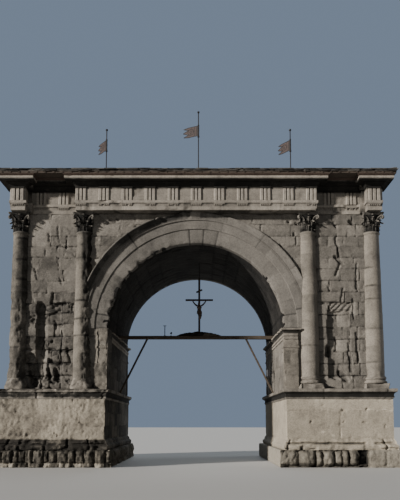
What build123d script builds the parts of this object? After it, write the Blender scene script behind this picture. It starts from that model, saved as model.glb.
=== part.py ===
from build123d import *
import math
import os

os.makedirs("parts", exist_ok=True)

# Single-bay triumphal arch of coursed conglomerate masonry with ten engaged columns,
# a plain-metope frieze with triglyphs and a low slate roof with three banner vanes.
# Millimetres. +Z up, fronts at -Y and +Y, origin on the ground at the middle of the plan.

# ---- driving dimensions -------------------------------------------------------------
ARCH_R = 4405            # intrados radius of the barrel vault
SPRING = 6830            # springing level
RING_R = 5190            # back of the vault ring
FACE = 4050              # half depth of the masonry (front wall plane at -FACE)
SIDE = 8750              # half width of the masonry (side wall planes)

SOCLE_H = 820
BASE_H = 1340            # top of the pedestal base moulding
DIE_H = 3250             # top of the pedestal die
PED_H = 3760             # top of the pedestal cornice
DIE_X0, DIE_X1, DIE_Y = 4390, 9530, 4830
SOCLE_OUT = 400          # rough socle beyond the die
PED_BASE_OUT = 180
PED_CORNICE_OUT = 190

COL_IN, COL_OUT = 5700, 8950     # column axes across the front
COL_Y = 3900                     # column axes, measured from the middle: half columns
R_LOW, R_TOP = 480, 400
PLINTH = 620             # half width of a column plinth
PLINTH_TOP, TORUS_TOP = 4050, 4350
SHAFT_TOP, CAPITAL_TOP = 11680, 12740

PIER_TOP = 8600          # bed joint between pier and spandrel masonry
ANTA_X1, ANTA_OUT = 5080, 120
IMPOST_Z0, IMPOST_OUT = 6280, 190

NICHE_X, NICHE_HALF, NICHE_Z0, NICHE_Z1, NICHE_D = 7280, 650, 4300, 8070, 350

ARCHITRAVE_TOP, FRIEZE_TOP = 13240, 13950
BED_TOP, CORONA_TOP, CYMA_TOP = 14190, 14340, 14450
EAVE_TOP, RIDGE_Z = 14600, 16100
RES_Y = 4670             # face of the frieze over the columns
RES_X = 9350             # the same on the side fronts
CENTRAL_X = 6070         # half width of the projecting centre section
CORNER_X0, CORNER_Y0 = 8600, 3900
SIDE_RES_Y = 400
BED_OUT, CORONA_OUT, CYMA_OUT, EAVE_OUT = 180, 480, 580, 680
RIDGE_HALF_X, RIDGE_HALF_Y = 5600, 160

TRI_W, TRI_STEP, TRI_OUT = 540, 1161, 45
TRI_RECESS = (6800, 7950)

BEAM_Z0, BEAM_H, BEAM_W = SPRING, 200, 240
CROSS_X = 150            # the cross stands a little right of the middle

POLES = {"left": (-5300, 19350, 18020, 52), "middle": (100, 20450, 18900, 25), "right": (5500, 19350, 18020, 52)}
POLE_R, SLEEVE_R0, SLEEVE_R1 = 30, 35, 52
VANE_L, VANE_H, VANE_T = 1070, 690, 14


# ---- helpers ------------------------------------------------------------------------
def block(x0, x1, y0, y1, z0, z1):
    """A rectangular block between two corners."""
    return Pos((x0 + x1) / 2, (y0 + y1) / 2, (z0 + z1) / 2) * Box(x1 - x0, y1 - y0, z1 - z0)


def side(sign, x0, x1, y0, y1, z0, z1):
    """A block on the left (-1) or right (+1) half, given with positive X."""
    a, b = sorted((sign * x0, sign * x1))
    return block(a, b, y0, y1, z0, z1)


def post(x, y, z0, z1, r0, r1=None):
    """A round or tapered vertical post."""
    r1 = r0 if r1 is None else r1
    h = z1 - z0
    body = Cylinder(r0, h) if abs(r0 - r1) < 1e-6 else Cone(r0, r1, h)
    return Pos(x, y, (z0 + z1) / 2) * body


def half_disc(r, y0, y1):
    """Half cylinder above the springing line, axis along Y."""
    full = Pos(0, (y0 + y1) / 2, SPRING) * (Rot(90, 0, 0) * Cylinder(r, y1 - y0))
    return full & block(-r - 10, r + 10, y0, y1, SPRING, SPRING + r + 10)


def prism_xz(points, y0, y1):
    """A polygon in the XZ plane, extruded along Y."""
    face = make_face(Polyline(*[(x, 0, z) for x, z in points], close=True))
    return Pos(0, y0, 0) * extrude(face, amount=y1 - y0, dir=(0, 1, 0))


def outline(d, z0, z1):
    """The entablature's plan with its projections over the columns, grown by d."""
    solid = block(-SIDE - d, SIDE + d, -FACE - d, FACE + d, z0, z1)
    solid += block(-CENTRAL_X - d, CENTRAL_X + d, -RES_Y - d, RES_Y + d, z0, z1)
    solid += block(-RES_X - d, RES_X + d, -SIDE_RES_Y - d, SIDE_RES_Y + d, z0, z1)
    for sx in (-1, 1):
        for sy in (-1, 1):
            xa, xb = sorted((sx * (CORNER_X0 - d), sx * (RES_X + d)))
            ya, yb = sorted((sy * (CORNER_Y0 - d), sy * (RES_Y + d)))
            solid += block(xa, xb, ya, yb, z0, z1)
    return solid


def write(name, shape):
    """One file per piece of the arch."""
    if isinstance(shape, (list, tuple)):
        shape = Compound(children=list(shape))
    export_step(shape, "parts/" + name + ".step")


wall = {s: side(s, ARCH_R, SIDE, -FACE, FACE, PED_H, CAPITAL_TOP) for s in (-1, 1)}
SIDES = ((-1, "left"), (1, "right"))

# ---- pedestals ----------------------------------------------------------------------
for s, name in SIDES:
    write("socle_" + name, side(s, DIE_X0 - SOCLE_OUT, DIE_X1 + SOCLE_OUT, -DIE_Y - SOCLE_OUT, DIE_Y + SOCLE_OUT, 0, SOCLE_H))
    die = side(s, DIE_X0, DIE_X1, -DIE_Y, DIE_Y, SOCLE_H, DIE_H)
    o = PED_BASE_OUT
    die += side(s, DIE_X0 - o, DIE_X1 + o, -DIE_Y - o, DIE_Y + o, SOCLE_H, SOCLE_H + 260)
    o = PED_BASE_OUT * 0.55
    die += side(s, DIE_X0 - o, DIE_X1 + o, -DIE_Y - o, DIE_Y + o, SOCLE_H + 260, BASE_H)
    write("pedestal_" + name, die)
    o = PED_CORNICE_OUT
    cap = side(s, DIE_X0 - 70, DIE_X1 + 90, -DIE_Y - 90, DIE_Y + 90, DIE_H, DIE_H + 220)
    cap += side(s, DIE_X0 - 150, DIE_X1 + o, -DIE_Y - o, DIE_Y + o, DIE_H + 220, PED_H)
    write("pedestal_cornice_" + name, cap)

# ---- piers with a niche between the columns on each front ---------------------------
ring_void = half_disc(RING_R, -FACE - 50, FACE + 50)
for s, name in SIDES:
    pier = side(s, ARCH_R, SIDE, -FACE, FACE, PED_H, PIER_TOP) - ring_void
    for sy in (-1, 1):
        ya, yb = sorted((sy * (FACE - NICHE_D), sy * (FACE + 50)))
        pier -= side(s, NICHE_X - NICHE_HALF, NICHE_X + NICHE_HALF, ya, yb, NICHE_Z0, NICHE_Z1)
    write("pier_" + name, pier)
    write("spandrel_" + name, side(s, 0, SIDE, -FACE, FACE, PIER_TOP, CAPITAL_TOP) - ring_void)

    # flat pilasters at the edges of the archway
    antae = [side(s, ARCH_R, ANTA_X1, *sorted((sy * FACE, sy * (FACE + ANTA_OUT))), PED_H, IMPOST_Z0) for sy in (-1, 1)]
    write("pilasters_" + name, antae)

    # impost band along the passage wall, turned round the pilaster; the front end of the left one is lost
    y_front = -FACE - ANTA_OUT - 150 if s > 0 else -2900
    out = IMPOST_OUT
    band = side(s, ARCH_R - 0.55 * out, ANTA_X1, y_front + (60 if s > 0 else 0), FACE + ANTA_OUT + 90, IMPOST_Z0, IMPOST_Z0 + 280)
    band += side(s, ARCH_R - out, ANTA_X1, y_front, FACE + ANTA_OUT + 150, IMPOST_Z0 + 280, SPRING)
    band -= side(s, ARCH_R, SIDE, -FACE, FACE, PED_H, CAPITAL_TOP)
    write("impost_" + name, band)

# ---- vault and face rings -----------------------------------------------------------
vault = half_disc(RING_R, -FACE, FACE) - half_disc(ARCH_R, -FACE - 10, FACE + 10)
write("barrel_vault", vault)


def archivolt(sy):
    """Two flat bands and an outer moulding, dying against the inner columns."""
    rings = None
    for r0, r1, out in ((ARCH_R, 5170, 80), (5170, 5680, 140), (5680, 5900, 380)):
        y0, y1 = sorted((sy * FACE, sy * (FACE + out)))
        ring = half_disc(r1, y0, y1) - half_disc(r0, y0 - 10, y1 + 10)
        ring = ring & block(-5200, 5200, y0, y1, SPRING, CAPITAL_TOP)
        rings = ring if rings is None else rings + ring
    return rings


write("archivolt_front", archivolt(-1))
write("archivolt_back", archivolt(1))

# ---- columns ------------------------------------------------------------------------
def column_places(s):
    """Column axes of one half: two on each front and one on the side."""
    return {
        "front": [(s * COL_IN, -COL_Y), (s * COL_OUT, -COL_Y)],
        "back": [(s * COL_IN, COL_Y), (s * COL_OUT, COL_Y)],
        "side": [(s * COL_OUT, 0)],
    }


for s, name in SIDES:
    places = column_places(s)
    bases, capitals = [], []
    for where, axes in places.items():
        shafts = []
        for x, y in axes:
            shafts.append(post(x, y, TORUS_TOP, SHAFT_TOP, R_LOW, R_TOP) - wall[s])
            base = block(x - PLINTH, x + PLINTH, y - PLINTH, y + PLINTH, PED_H, PLINTH_TOP)
            base += post(x, y, PLINTH_TOP, PLINTH_TOP + 160, PLINTH - 30)
            base += post(x, y, PLINTH_TOP + 160, TORUS_TOP, R_LOW + 70, R_LOW + 30)
            bases.append(base - wall[s])
            bell = post(x, y, SHAFT_TOP, SHAFT_TOP + 100, R_TOP + 40)
            bell += post(x, y, SHAFT_TOP + 100, CAPITAL_TOP - 150, R_TOP + 20, R_TOP + 150)
            bell += block(x - 560, x + 560, y - 560, y + 560, CAPITAL_TOP - 150, CAPITAL_TOP)
            capitals.append(bell - wall[s])
        write(("columns_" if len(shafts) > 1 else "column_") + where + "_" + name, shafts if len(shafts) > 1 else shafts[0])
    write("column_bases_" + name, bases)
    write("capitals_" + name, capitals)

# ---- entablature --------------------------------------------------------------------
architrave = outline(0, CAPITAL_TOP, ARCHITRAVE_TOP - 90) + outline(70, ARCHITRAVE_TOP - 90, ARCHITRAVE_TOP)
write("architrave", architrave)
write("frieze", outline(0, ARCHITRAVE_TOP, FRIEZE_TOP))

tris = []
for sy in (-1, 1):
    for k in range(-5, 6):
        y0, y1 = sorted((sy * RES_Y, sy * (RES_Y + TRI_OUT)))
        tris.append(block(k * TRI_STEP - TRI_W / 2, k * TRI_STEP + TRI_W / 2, y0, y1, ARCHITRAVE_TOP, FRIEZE_TOP))
    for s in (-1, 1):
        for x in TRI_RECESS:
            y0, y1 = sorted((sy * FACE, sy * (FACE + TRI_OUT)))
            tris.append(block(s * x - TRI_W / 2, s * x + TRI_W / 2, y0, y1, ARCHITRAVE_TOP, FRIEZE_TOP))
        y0, y1 = sorted((sy * RES_Y, sy * (RES_Y + TRI_OUT)))
        tris.append(block(s * 8975 - 310, s * 8975 + 310, y0, y1, ARCHITRAVE_TOP, FRIEZE_TOP))
for s in (-1, 1):
    for y in (-3210, -2140, -1070, 1070, 2140, 3210):
        xa, xb = sorted((s * SIDE, s * (SIDE + TRI_OUT)))
        tris.append(block(xa, xb, y - TRI_W / 2, y + TRI_W / 2, ARCHITRAVE_TOP, FRIEZE_TOP))
    for y in (-4285, 0, 4285):
        xa, xb = sorted((s * RES_X, s * (RES_X + TRI_OUT)))
        tris.append(block(xa, xb, y - 310, y + 310, ARCHITRAVE_TOP, FRIEZE_TOP))
write("triglyphs", tris)

cornice = outline(BED_OUT, FRIEZE_TOP, BED_TOP) + outline(CORONA_OUT, BED_TOP, CORONA_TOP) + outline(CYMA_OUT, CORONA_TOP, CYMA_TOP)
write("cornice", cornice)

# ---- roof: straight slated eaves over the cornice and a low hip with a flat ridge ---
ex, ey = RES_X + EAVE_OUT, RES_Y + EAVE_OUT
hip = loft([
    Plane.XY.offset(EAVE_TOP) * Rectangle(2 * ex, 2 * ey),
    Plane.XY.offset(RIDGE_Z) * Rectangle(2 * RIDGE_HALF_X, 2 * RIDGE_HALF_Y),
])
write("roof", hip + block(-ex, ex, -ey, ey, CYMA_TOP, EAVE_TOP))

# ---- poles and banner vanes ---------------------------------------------------------
for name, (px, top, vane_z, turn) in POLES.items():
    pole = post(px, 0, RIDGE_Z, RIDGE_Z + 30, 130)
    pole += post(px, 0, RIDGE_Z + 30, RIDGE_Z + 330, 75, 40)
    pole += post(px, 0, RIDGE_Z + 330, top - 130, POLE_R)
    pole += post(px, 0, vane_z - 62, vane_z - 4, 62)
    pole += Pos(px, 0, top - 70) * Sphere(70)
    write("pole_" + name, pole)

    # banner with three tongues on a sleeve that turns freely on the pole
    sleeve = post(0, 0, 0, VANE_H, SLEEVE_R1)
    tongue = VANE_H / 3
    pts = [(40, 20), (680, 20), (VANE_L, 20 + tongue * 0.28), (720, 20 + tongue * 0.80)]
    pts += [(VANE_L, 20 + tongue * 1.42), (720, 20 + tongue * 2.05), (VANE_L, 20 + tongue * 2.55), (680, VANE_H - 20), (40, VANE_H - 20)]
    flag = prism_xz([(-x, z) for x, z in pts], -VANE_T / 2, VANE_T / 2)
    vane = (sleeve + flag) - post(0, 0, -10, VANE_H + 10, SLEEVE_R0)
    write("vane_" + name, Pos(px, 0, vane_z) * (Rot(0, 0, -turn) * vane))

# ---- crucifix beam inside the vault -------------------------------------------------
beam_x = ARCH_R - 20
write("beam", block(-beam_x, beam_x, -BEAM_W / 2, BEAM_W / 2, BEAM_Z0, BEAM_Z0 + BEAM_H))
for s, name in SIDES:
    pts = [(s * 2750, BEAM_Z0), (s * 2880, BEAM_Z0), (s * 4400, PED_H), (s * 4270, PED_H)]
    write("strut_" + name, prism_xz(pts, -60, 60))
top = BEAM_Z0 + BEAM_H
mound_pts = [(-1140, top), (1410, top), (1230, top + 90), (760, top + 150), (330, top + 240), (210, top + 260),
             (-10, top + 260), (-260, top + 190), (-640, top + 170), (-980, top + 70)]
write("rock_mound", prism_xz(mound_pts, -210, 210))
foot = top + 260
cross = block(CROSS_X - 60, CROSS_X + 60, -50, 50, foot, 10350)
cross += block(CROSS_X - 785, CROSS_X + 785, -50, 50, 9045, 9150)
write("cross", cross)
write("titulus", Pos(CROSS_X, -64, 9610) * (Rot(0, -25, 0) * Box(370, 28, 95)))
write("hanger_rod", post(CROSS_X, 0, 10350, SPRING + math.sqrt(ARCH_R**2 - (CROSS_X + 20) ** 2) - 0.5, 20))

# hanging figure: legs, torso, head and raised arms
fy = -130
figure = Pos(CROSS_X, fy, 8600) * Box(270, 140, 330)
figure += Pos(CROSS_X, fy, 8395) * Box(240, 140, 150)
figure += Pos(CROSS_X + 25, fy, 8125) * Box(170, 120, 420)
figure += Pos(CROSS_X, fy + 5, 7885) * Box(80, 140, 80)
figure += post(CROSS_X, fy, 8760, 8830, 30)
figure += Pos(CROSS_X, fy - 12, 8885) * Sphere(75)
for s in (-1, 1):
    arm = [(CROSS_X + s * 60, 8740), (CROSS_X + s * 85, 8690), (CROSS_X + s * 420, 9040), (CROSS_X + s * 400, 9095)]
    figure += prism_xz(arm, fy - 30, fy + 30)
    figure += block(CROSS_X + s * 402 - 35, CROSS_X + s * 402 + 35, fy - 30, -50, 9045, 9105)
figure += block(CROSS_X - 60, CROSS_X + 60, fy, -50, 8420, 8700)
write("corpus", figure)

# small lamps: a rod with a cross head and a floodlight on the beam, a floodlight on the right pier
rod = post(-1810, 0, top, top + 560, 28) + block(-1895, -1725, -28, 28, top + 560, top + 605)
spot = post(-1450, 0, top, top + 90, 16) + block(-1540, -1370, -70, 60, top + 90, top + 230)
flood = block(3960, 4250, -150, 150, 4680, 5140) + block(4250, ARCH_R, -40, 40, 4860, 4960)
write("lamps", [rod, spot, flood])
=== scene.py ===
import math
import bpy
import numpy as np
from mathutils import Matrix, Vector


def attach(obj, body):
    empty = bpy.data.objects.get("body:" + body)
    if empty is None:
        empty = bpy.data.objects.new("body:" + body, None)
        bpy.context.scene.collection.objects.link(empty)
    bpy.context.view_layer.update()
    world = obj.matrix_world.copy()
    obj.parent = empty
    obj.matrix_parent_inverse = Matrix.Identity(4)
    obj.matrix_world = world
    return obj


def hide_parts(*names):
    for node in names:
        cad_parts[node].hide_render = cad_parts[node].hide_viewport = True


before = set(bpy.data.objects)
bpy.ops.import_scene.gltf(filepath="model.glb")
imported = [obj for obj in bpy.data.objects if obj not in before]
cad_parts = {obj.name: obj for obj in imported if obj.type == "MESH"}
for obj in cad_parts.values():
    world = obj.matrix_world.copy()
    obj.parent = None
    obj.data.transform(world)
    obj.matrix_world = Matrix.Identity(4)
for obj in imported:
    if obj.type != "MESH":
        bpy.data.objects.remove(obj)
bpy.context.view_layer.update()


F = 1.40

# ---- sizes, the same as the construction's, in metres -------------------------------
ARCH_R, SPRING, RING_R = 4.405, 6.83, 5.19
FACE, SIDE = 4.05, 8.75
SOCLE_H, BASE_H, DIE_H, PED_H = 0.82, 1.34, 3.25, 3.76
DIE_X0, DIE_X1, DIE_Y = 4.39, 9.53, 4.83
COL_IN, COL_OUT, COL_Y = 5.70, 8.95, 3.90
R_LOW, R_TOP, PLINTH = 0.48, 0.40, 0.62
PLINTH_TOP, TORUS_TOP, SHAFT_TOP, CAPITAL_TOP = 4.05, 4.35, 11.68, 12.74
PIER_TOP, IMPOST_Z0 = 8.60, 6.28
NICHE_X, NICHE_HALF, NICHE_Z0, NICHE_Z1 = 7.28, 0.65, 4.30, 8.07
ARCHITRAVE_TOP, FRIEZE_TOP = 13.24, 13.95
BED_TOP, CORONA_TOP, CYMA_TOP, EAVE_TOP, RIDGE_Z = 14.19, 14.34, 14.45, 14.60, 16.10
RES_Y, RES_X, CENTRAL_X, CORNER_X0, CORNER_Y0, SIDE_RES_Y = 4.67, 9.35, 6.07, 8.60, 3.90, 0.40
EAVE_OUT = 0.68

# =====================================================================================
# noise
# =====================================================================================


def _hash(ix, iy, iz, seed):
    h = (ix.astype(np.int64) * 374761393 + iy.astype(np.int64) * 668265263 + iz.astype(np.int64) * 2147483647 + seed * 974634777) & 0xFFFFFFFF
    h = ((h ^ (h >> 13)) * 1274126177) & 0xFFFFFFFF
    h = ((h ^ (h >> 16)) * 2246822519) & 0xFFFFFFFF
    return ((h ^ (h >> 15)) & 0xFFFFFF) / 16777215.0


def vnoise(p, seed=0):
    """Smooth value noise in -1..1 at points p (N, 3)."""
    i = np.floor(p).astype(np.int64)
    f = p - i
    f = f * f * f * (f * (f * 6 - 15) + 10)
    out = np.zeros(len(p))
    for dx in (0, 1):
        wx = f[:, 0] if dx else 1 - f[:, 0]
        for dy in (0, 1):
            wy = f[:, 1] if dy else 1 - f[:, 1]
            for dz in (0, 1):
                wz = f[:, 2] if dz else 1 - f[:, 2]
                out += wx * wy * wz * _hash(i[:, 0] + dx, i[:, 1] + dy, i[:, 2] + dz, seed)
    return out * 2 - 1


def fbm(p, octaves=4, seed=0, gain=0.5):
    total, amp, norm = 0, 1.0, 0
    for k in range(octaves):
        total = total + amp * vnoise(p * (2.03 ** k) + 17.3 * k, seed + k)
        norm += amp
        amp *= gain
    return total / norm


def worley(p, seed=0):
    """Distance to the nearest and second nearest scattered point, and the nearest cell's random value."""
    i = np.floor(p).astype(np.int64)
    d1 = np.full(len(p), 9.0)
    d2 = np.full(len(p), 9.0)
    rid = np.zeros(len(p))
    for dx in (-1, 0, 1):
        for dy in (-1, 0, 1):
            for dz in (-1, 0, 1):
                c = i + np.array([dx, dy, dz])
                q = np.stack([c[:, k] + _hash(c[:, 0], c[:, 1], c[:, 2], seed + 11 * k + 1) for k in range(3)], 1)
                d = np.sqrt(((p - q) ** 2).sum(1))
                near = d < d1
                d2 = np.where(near, d1, np.minimum(d2, d))
                rid = np.where(near, _hash(c[:, 0], c[:, 1], c[:, 2], seed + 77), rid)
                d1 = np.where(near, d, d1)
    return d1, d2, rid


def smooth(x, a=0.0, b=1.0):
    t = np.clip((x - a) / (b - a), 0, 1)
    return t * t * (3 - 2 * t)


# =====================================================================================
# coursed masonry: joints, one random value a block
# =====================================================================================


class Courses:
    """Courses of blocks on a wall: u runs along the wall, z up."""

    def __init__(self, levels, lengths, seed, u0=-50.0, u1=50.0):
        self.levels = np.array(levels, float)
        rng = np.random.default_rng(seed)
        self.seed = seed
        self.joints = []
        for k in range(len(levels) + 1):
            xs, x = [], u0 + rng.uniform(0, lengths[1])
            while x < u1:
                xs.append(x)
                x += rng.uniform(*lengths)
            self.joints.append(np.array(xs))

    def fix(self, z, a, b, joints):
        """Sets the standing joints between a and b in the course that holds height z."""
        r = int(np.searchsorted(self.levels, z))
        xs = self.joints[r]
        self.joints[r] = np.sort(np.concatenate([xs[(xs < a) | (xs > b)], joints]))

    def at(self, u, z, wobble=0.0):
        """(distance to a bed joint, distance to a standing joint, block id, local x, local z in -1..1)."""
        row = np.clip(np.searchsorted(self.levels, z), 0, len(self.levels))
        lo = np.concatenate([[self.levels[0] - 1.0], self.levels])[row]
        hi = np.concatenate([self.levels, [self.levels[-1] + 1.0]])[row]
        bed = np.minimum(np.abs(z - lo), np.abs(hi - z))
        stand = np.full(u.shape, 9.0)
        block = np.zeros(u.shape, np.int64)
        lx = np.zeros(u.shape)
        for r in np.unique(row):
            m = row == r
            xs = self.joints[r]
            b = np.searchsorted(xs, u[m])
            left, right = xs[np.clip(b - 1, 0, len(xs) - 1)], xs[np.clip(b, 0, len(xs) - 1)]
            stand[m] = np.minimum(np.abs(u[m] - left), np.abs(right - u[m]))
            block[m] = r * 1000 + b
            lx[m] = np.clip((u[m] - (left + right) / 2) / np.maximum((right - left) / 2, 1e-3), -1, 1)
        lz = np.clip((z - (lo + hi) / 2) / np.maximum((hi - lo) / 2, 1e-3), -1, 1)
        return bed, stand, block, lx, lz

    def rand(self, block, k=0):
        return _hash(block, block * 0 + k, block * 0 + self.seed, 5)


def masonry(p, u, z, courses, wear, seed, joint=0.022, depth=0.05, rough=0.022, jitter=0.02, crisp=0.5, wobble=1.0):
    """Outward displacement and tone of a weathered ashlar wall. wear 0..1 spalls, cracks and pits the blocks."""
    du = wobble * (0.045 * vnoise(p * 1.3, seed + 3) + 0.016 * vnoise(p * 4.1, seed + 4))
    dz = wobble * (0.026 * vnoise(p * 1.2, seed + 5) + 0.012 * vnoise(p * 4.5, seed + 6))
    bed, stand, block, lx, lz = courses.at(u + du, z + dz)
    r0, r1, r2 = courses.rand(block, 0), courses.rand(block, 1), courses.rand(block, 2)
    big = fbm(p * 0.9, 3, seed + 10)
    fine = fbm(p * 6.5, 3, seed + 20)
    mid = fbm(p * 2.4, 3, seed + 30)
    w = np.clip(wear + 0.45 * (r1 - 0.5) + 0.40 * big, 0, 1)
    edge = np.minimum(bed, stand) * (1.0 + 0.5 * fine)
    width = joint + 0.055 * w * w * smooth(mid, -0.4, 0.6)
    groove = 1 - smooth(edge, 0.25 * width, width + 0.012)
    show = smooth(crisp + 0.7 * w + 0.55 * mid + 0.3 * (r0 - 0.5), 0.20, 0.60)
    d = -depth * (0.5 + 1.0 * w) * groove * show
    d += jitter * (r0 - 0.5) * 2 * (0.5 + w)
    grit = fbm(p * 13.0, 2, seed + 25)
    d += rough * (0.22 + 1.1 * w) * (0.6 * mid + 0.45 * fine + 0.30 * grit)
    # faces that have flaked off in plates, with crisp edges
    t = 0.50 - 0.55 * w
    flake = smooth(fbm(p * np.array([1.5, 1.5, 1.2]) + r0[:, None] * 7, 3, seed + 40), t, t + 0.05)
    d -= (0.014 + 0.040 * r2 * w) * flake
    # hollows eaten out where joints meet, and scattered pits
    corner = smooth(0.17 * w * (0.4 + r2) - np.hypot(bed, stand) * (1 + 0.7 * mid), 0.0, 0.05)
    pit = smooth(fbm(p * 3.6, 2, seed + 44), 0.38, 0.52) * smooth(w, 0.50, 0.85)
    d -= 0.060 * corner + 0.055 * pit
    c1, c2, cr = worley(p * np.array([1.0, 1.0, 0.72]) + 0.12 * mid[:, None] + seed, seed + 50)
    crack = (1 - smooth(c2 - c1, 0.0, 0.035)) * smooth(w + 0.3 * fine, 0.50, 0.75)
    d -= 0.045 * crack
    d -= smooth(w, 0.6, 1.0) * (np.abs(lx) ** 6 + np.abs(lz) ** 6) * 0.025
    arris = (1 - smooth(edge, 0.0, 0.11)) * smooth(fbm(p * np.array([3.4, 3.4, 3.4]) + r1[:, None] * 5, 3, seed + 61), 0.10 - 0.3 * w, 0.34 - 0.3 * w)
    d -= 0.032 * arris
    tone = 0.54 + 0.26 * (r2 - 0.5) + 0.12 * big + 0.08 * mid - 0.30 * groove * show + 0.06 * fine - 0.22 * pit - 0.20 * corner - 0.25 * crack + 0.05 * flake
    return d, tone, groove * show


# =====================================================================================
# meshes
# =====================================================================================


def mesh_object(name, verts, faces, tone=None, smooth_angle=40.0, extra=None):
    """verts (N, 3); faces a list of arrays, each (M, k)."""
    me = bpy.data.meshes.new(name)
    faces = [np.asarray(f, np.int64) for f in faces if len(f)]
    loops = np.concatenate([f.ravel() for f in faces])
    sizes = np.concatenate([np.full(len(f), f.shape[1]) for f in faces])
    starts = np.concatenate([[0], np.cumsum(sizes)[:-1]])
    me.vertices.add(len(verts))
    me.vertices.foreach_set("co", np.asarray(verts, np.float32).ravel())
    me.loops.add(len(loops))
    me.loops.foreach_set("vertex_index", loops.astype(np.int32))
    me.polygons.add(len(sizes))
    me.polygons.foreach_set("loop_start", starts.astype(np.int32))
    me.polygons.foreach_set("use_smooth", np.ones(len(sizes), bool))
    me.update(calc_edges=True)
    me.validate()
    if smooth_angle is not None:
        me.set_sharp_from_angle(angle=math.radians(smooth_angle))
    if tone is not None:
        a = me.attributes.new("tone", "FLOAT", "POINT")
        a.data.foreach_set("value", np.clip(tone, 0, 1).astype(np.float32))
    ob = bpy.data.objects.new(name, me)
    bpy.context.scene.collection.objects.link(ob)
    return ob


class Bag:
    """Collects pieces of mesh into one object."""

    def __init__(self):
        self.v, self.f, self.t, self.n = [], {}, [], 0

    def add(self, verts, faces, tone=0.5):
        verts = np.asarray(verts, float).reshape(-1, 3)
        tone = np.broadcast_to(np.asarray(tone, float), (len(verts),)) if np.ndim(tone) == 0 else np.asarray(tone, float).ravel()
        self.v.append(verts)
        self.t.append(tone)
        for f in faces:
            f = np.asarray(f, np.int64)
            if len(f):
                self.f.setdefault(f.shape[1], []).append(f + self.n)
        self.n += len(verts)

    def object(self, name, smooth_angle=40.0):
        faces = [np.concatenate(fs) for fs in self.f.values()]
        return mesh_object(name, np.concatenate(self.v), faces, np.concatenate(self.t), smooth_angle)


def grid_faces(k, s, closed=False, keep=None):
    """Quads of a k-row, s-column grid of vertices, row major."""
    cols = s if closed else s - 1
    a = np.arange(k - 1)[:, None] * s + np.arange(cols)[None, :]
    b = np.arange(k - 1)[:, None] * s + (np.arange(cols)[None, :] + 1) % s
    q = np.stack([a, b, b + s, a + s], -1)
    if keep is not None:
        q = q[keep]
    return q.reshape(-1, 4)


def plan_path(outline, spacing):
    """Samples of a closed plan outline (counter-clockwise). Returns corner index pairs, t, u, edge id."""
    pts = np.array(outline, float)
    n = len(pts)
    nxt = np.roll(pts, -1, 0)
    d = nxt - pts
    length = np.hypot(d[:, 0], d[:, 1])
    d = d / length[:, None]
    nrm = np.stack([d[:, 1], -d[:, 0]], 1)
    prev = np.roll(nrm, 1, 0)
    mitre = (prev + nrm) / (1 + (prev * nrm).sum(1))[:, None]
    ia, ib, t, edge = [], [], [], []
    for i in range(n):
        sp = spacing(i, pts[i], nxt[i], nrm[i]) if callable(spacing) else spacing
        m = max(1, int(round(length[i] / sp)))
        for k in range(m):
            ia.append(i)
            ib.append((i + 1) % n)
            t.append(k / m)
            edge.append(i)
    return pts, mitre, nrm, np.array(ia), np.array(ib), np.array(t), np.array(edge), length


def sweep(outline, profile, spacing, displace=None, cap=True):
    """A profile of (offset, z) carried round a closed plan outline. displace(p, u, z, nrm, o) -> (d, tone, dz)."""
    pts, mitre, nrm, ia, ib, t, edge, length = plan_path(outline, spacing)
    prof = np.array(profile, float)
    K, S = len(prof), len(ia)
    o = prof[:, 0][:, None]
    base = pts[ia] * (1 - t)[:, None] + pts[ib] * t[:, None]
    mit = mitre[ia] * (1 - t)[:, None] + mitre[ib] * t[:, None]
    P = np.zeros((K, S, 3))
    P[:, :, 0] = base[:, 0][None] + o * mit[:, 0][None]
    P[:, :, 1] = base[:, 1][None] + o * mit[:, 1][None]
    P[:, :, 2] = prof[:, 1][:, None]
    corner = t == 0
    N = np.where(corner[:, None], mitre[ia], nrm[edge])
    N = np.broadcast_to(N[None], (K, S, 2))
    tone = np.full(K * S, 0.5)
    if displace is not None:
        p = P.reshape(-1, 3)
        n2 = nrm[edge]
        u = np.where(np.abs(n2[:, 1]) > 0.5, base[:, 0], base[:, 1] + 40.0 * np.sign(n2[:, 0]))
        u = np.broadcast_to(u[None], (K, S)).ravel()
        nn = np.broadcast_to(n2[None], (K, S, 2)).reshape(-1, 2)
        d, tone, dz = displace(p, u, p[:, 2], nn, np.broadcast_to(o, (K, S)).ravel())
        P = P + np.concatenate([N * np.asarray(d).reshape(K, S, 1), np.asarray(dz).reshape(K, S, 1) * np.ones((K, S, 1))], 2)
    faces = [grid_faces(K, S, closed=True)]
    if cap == "tube":
        a = np.arange(S)
        b = (a + 1) % S
        last = (K - 1) * S
        faces += [np.stack([a + last, b + last, b, a], 1)]
    elif cap:
        faces += [np.arange(S)[::-1][None], (np.arange(S) + (K - 1) * S)[None]]
    return P.reshape(-1, 3), faces, tone


def fine_profile(points, step):
    """Subdivides a profile's straight runs, keeping its corners."""
    out = [points[0]]
    for a, b in zip(points[:-1], points[1:]):
        m = max(1, int(round(math.dist(a, b) / step)))
        out += [(a[0] + (b[0] - a[0]) * k / m, a[1] + (b[1] - a[1]) * k / m) for k in range(1, m + 1)]
    return out


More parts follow.
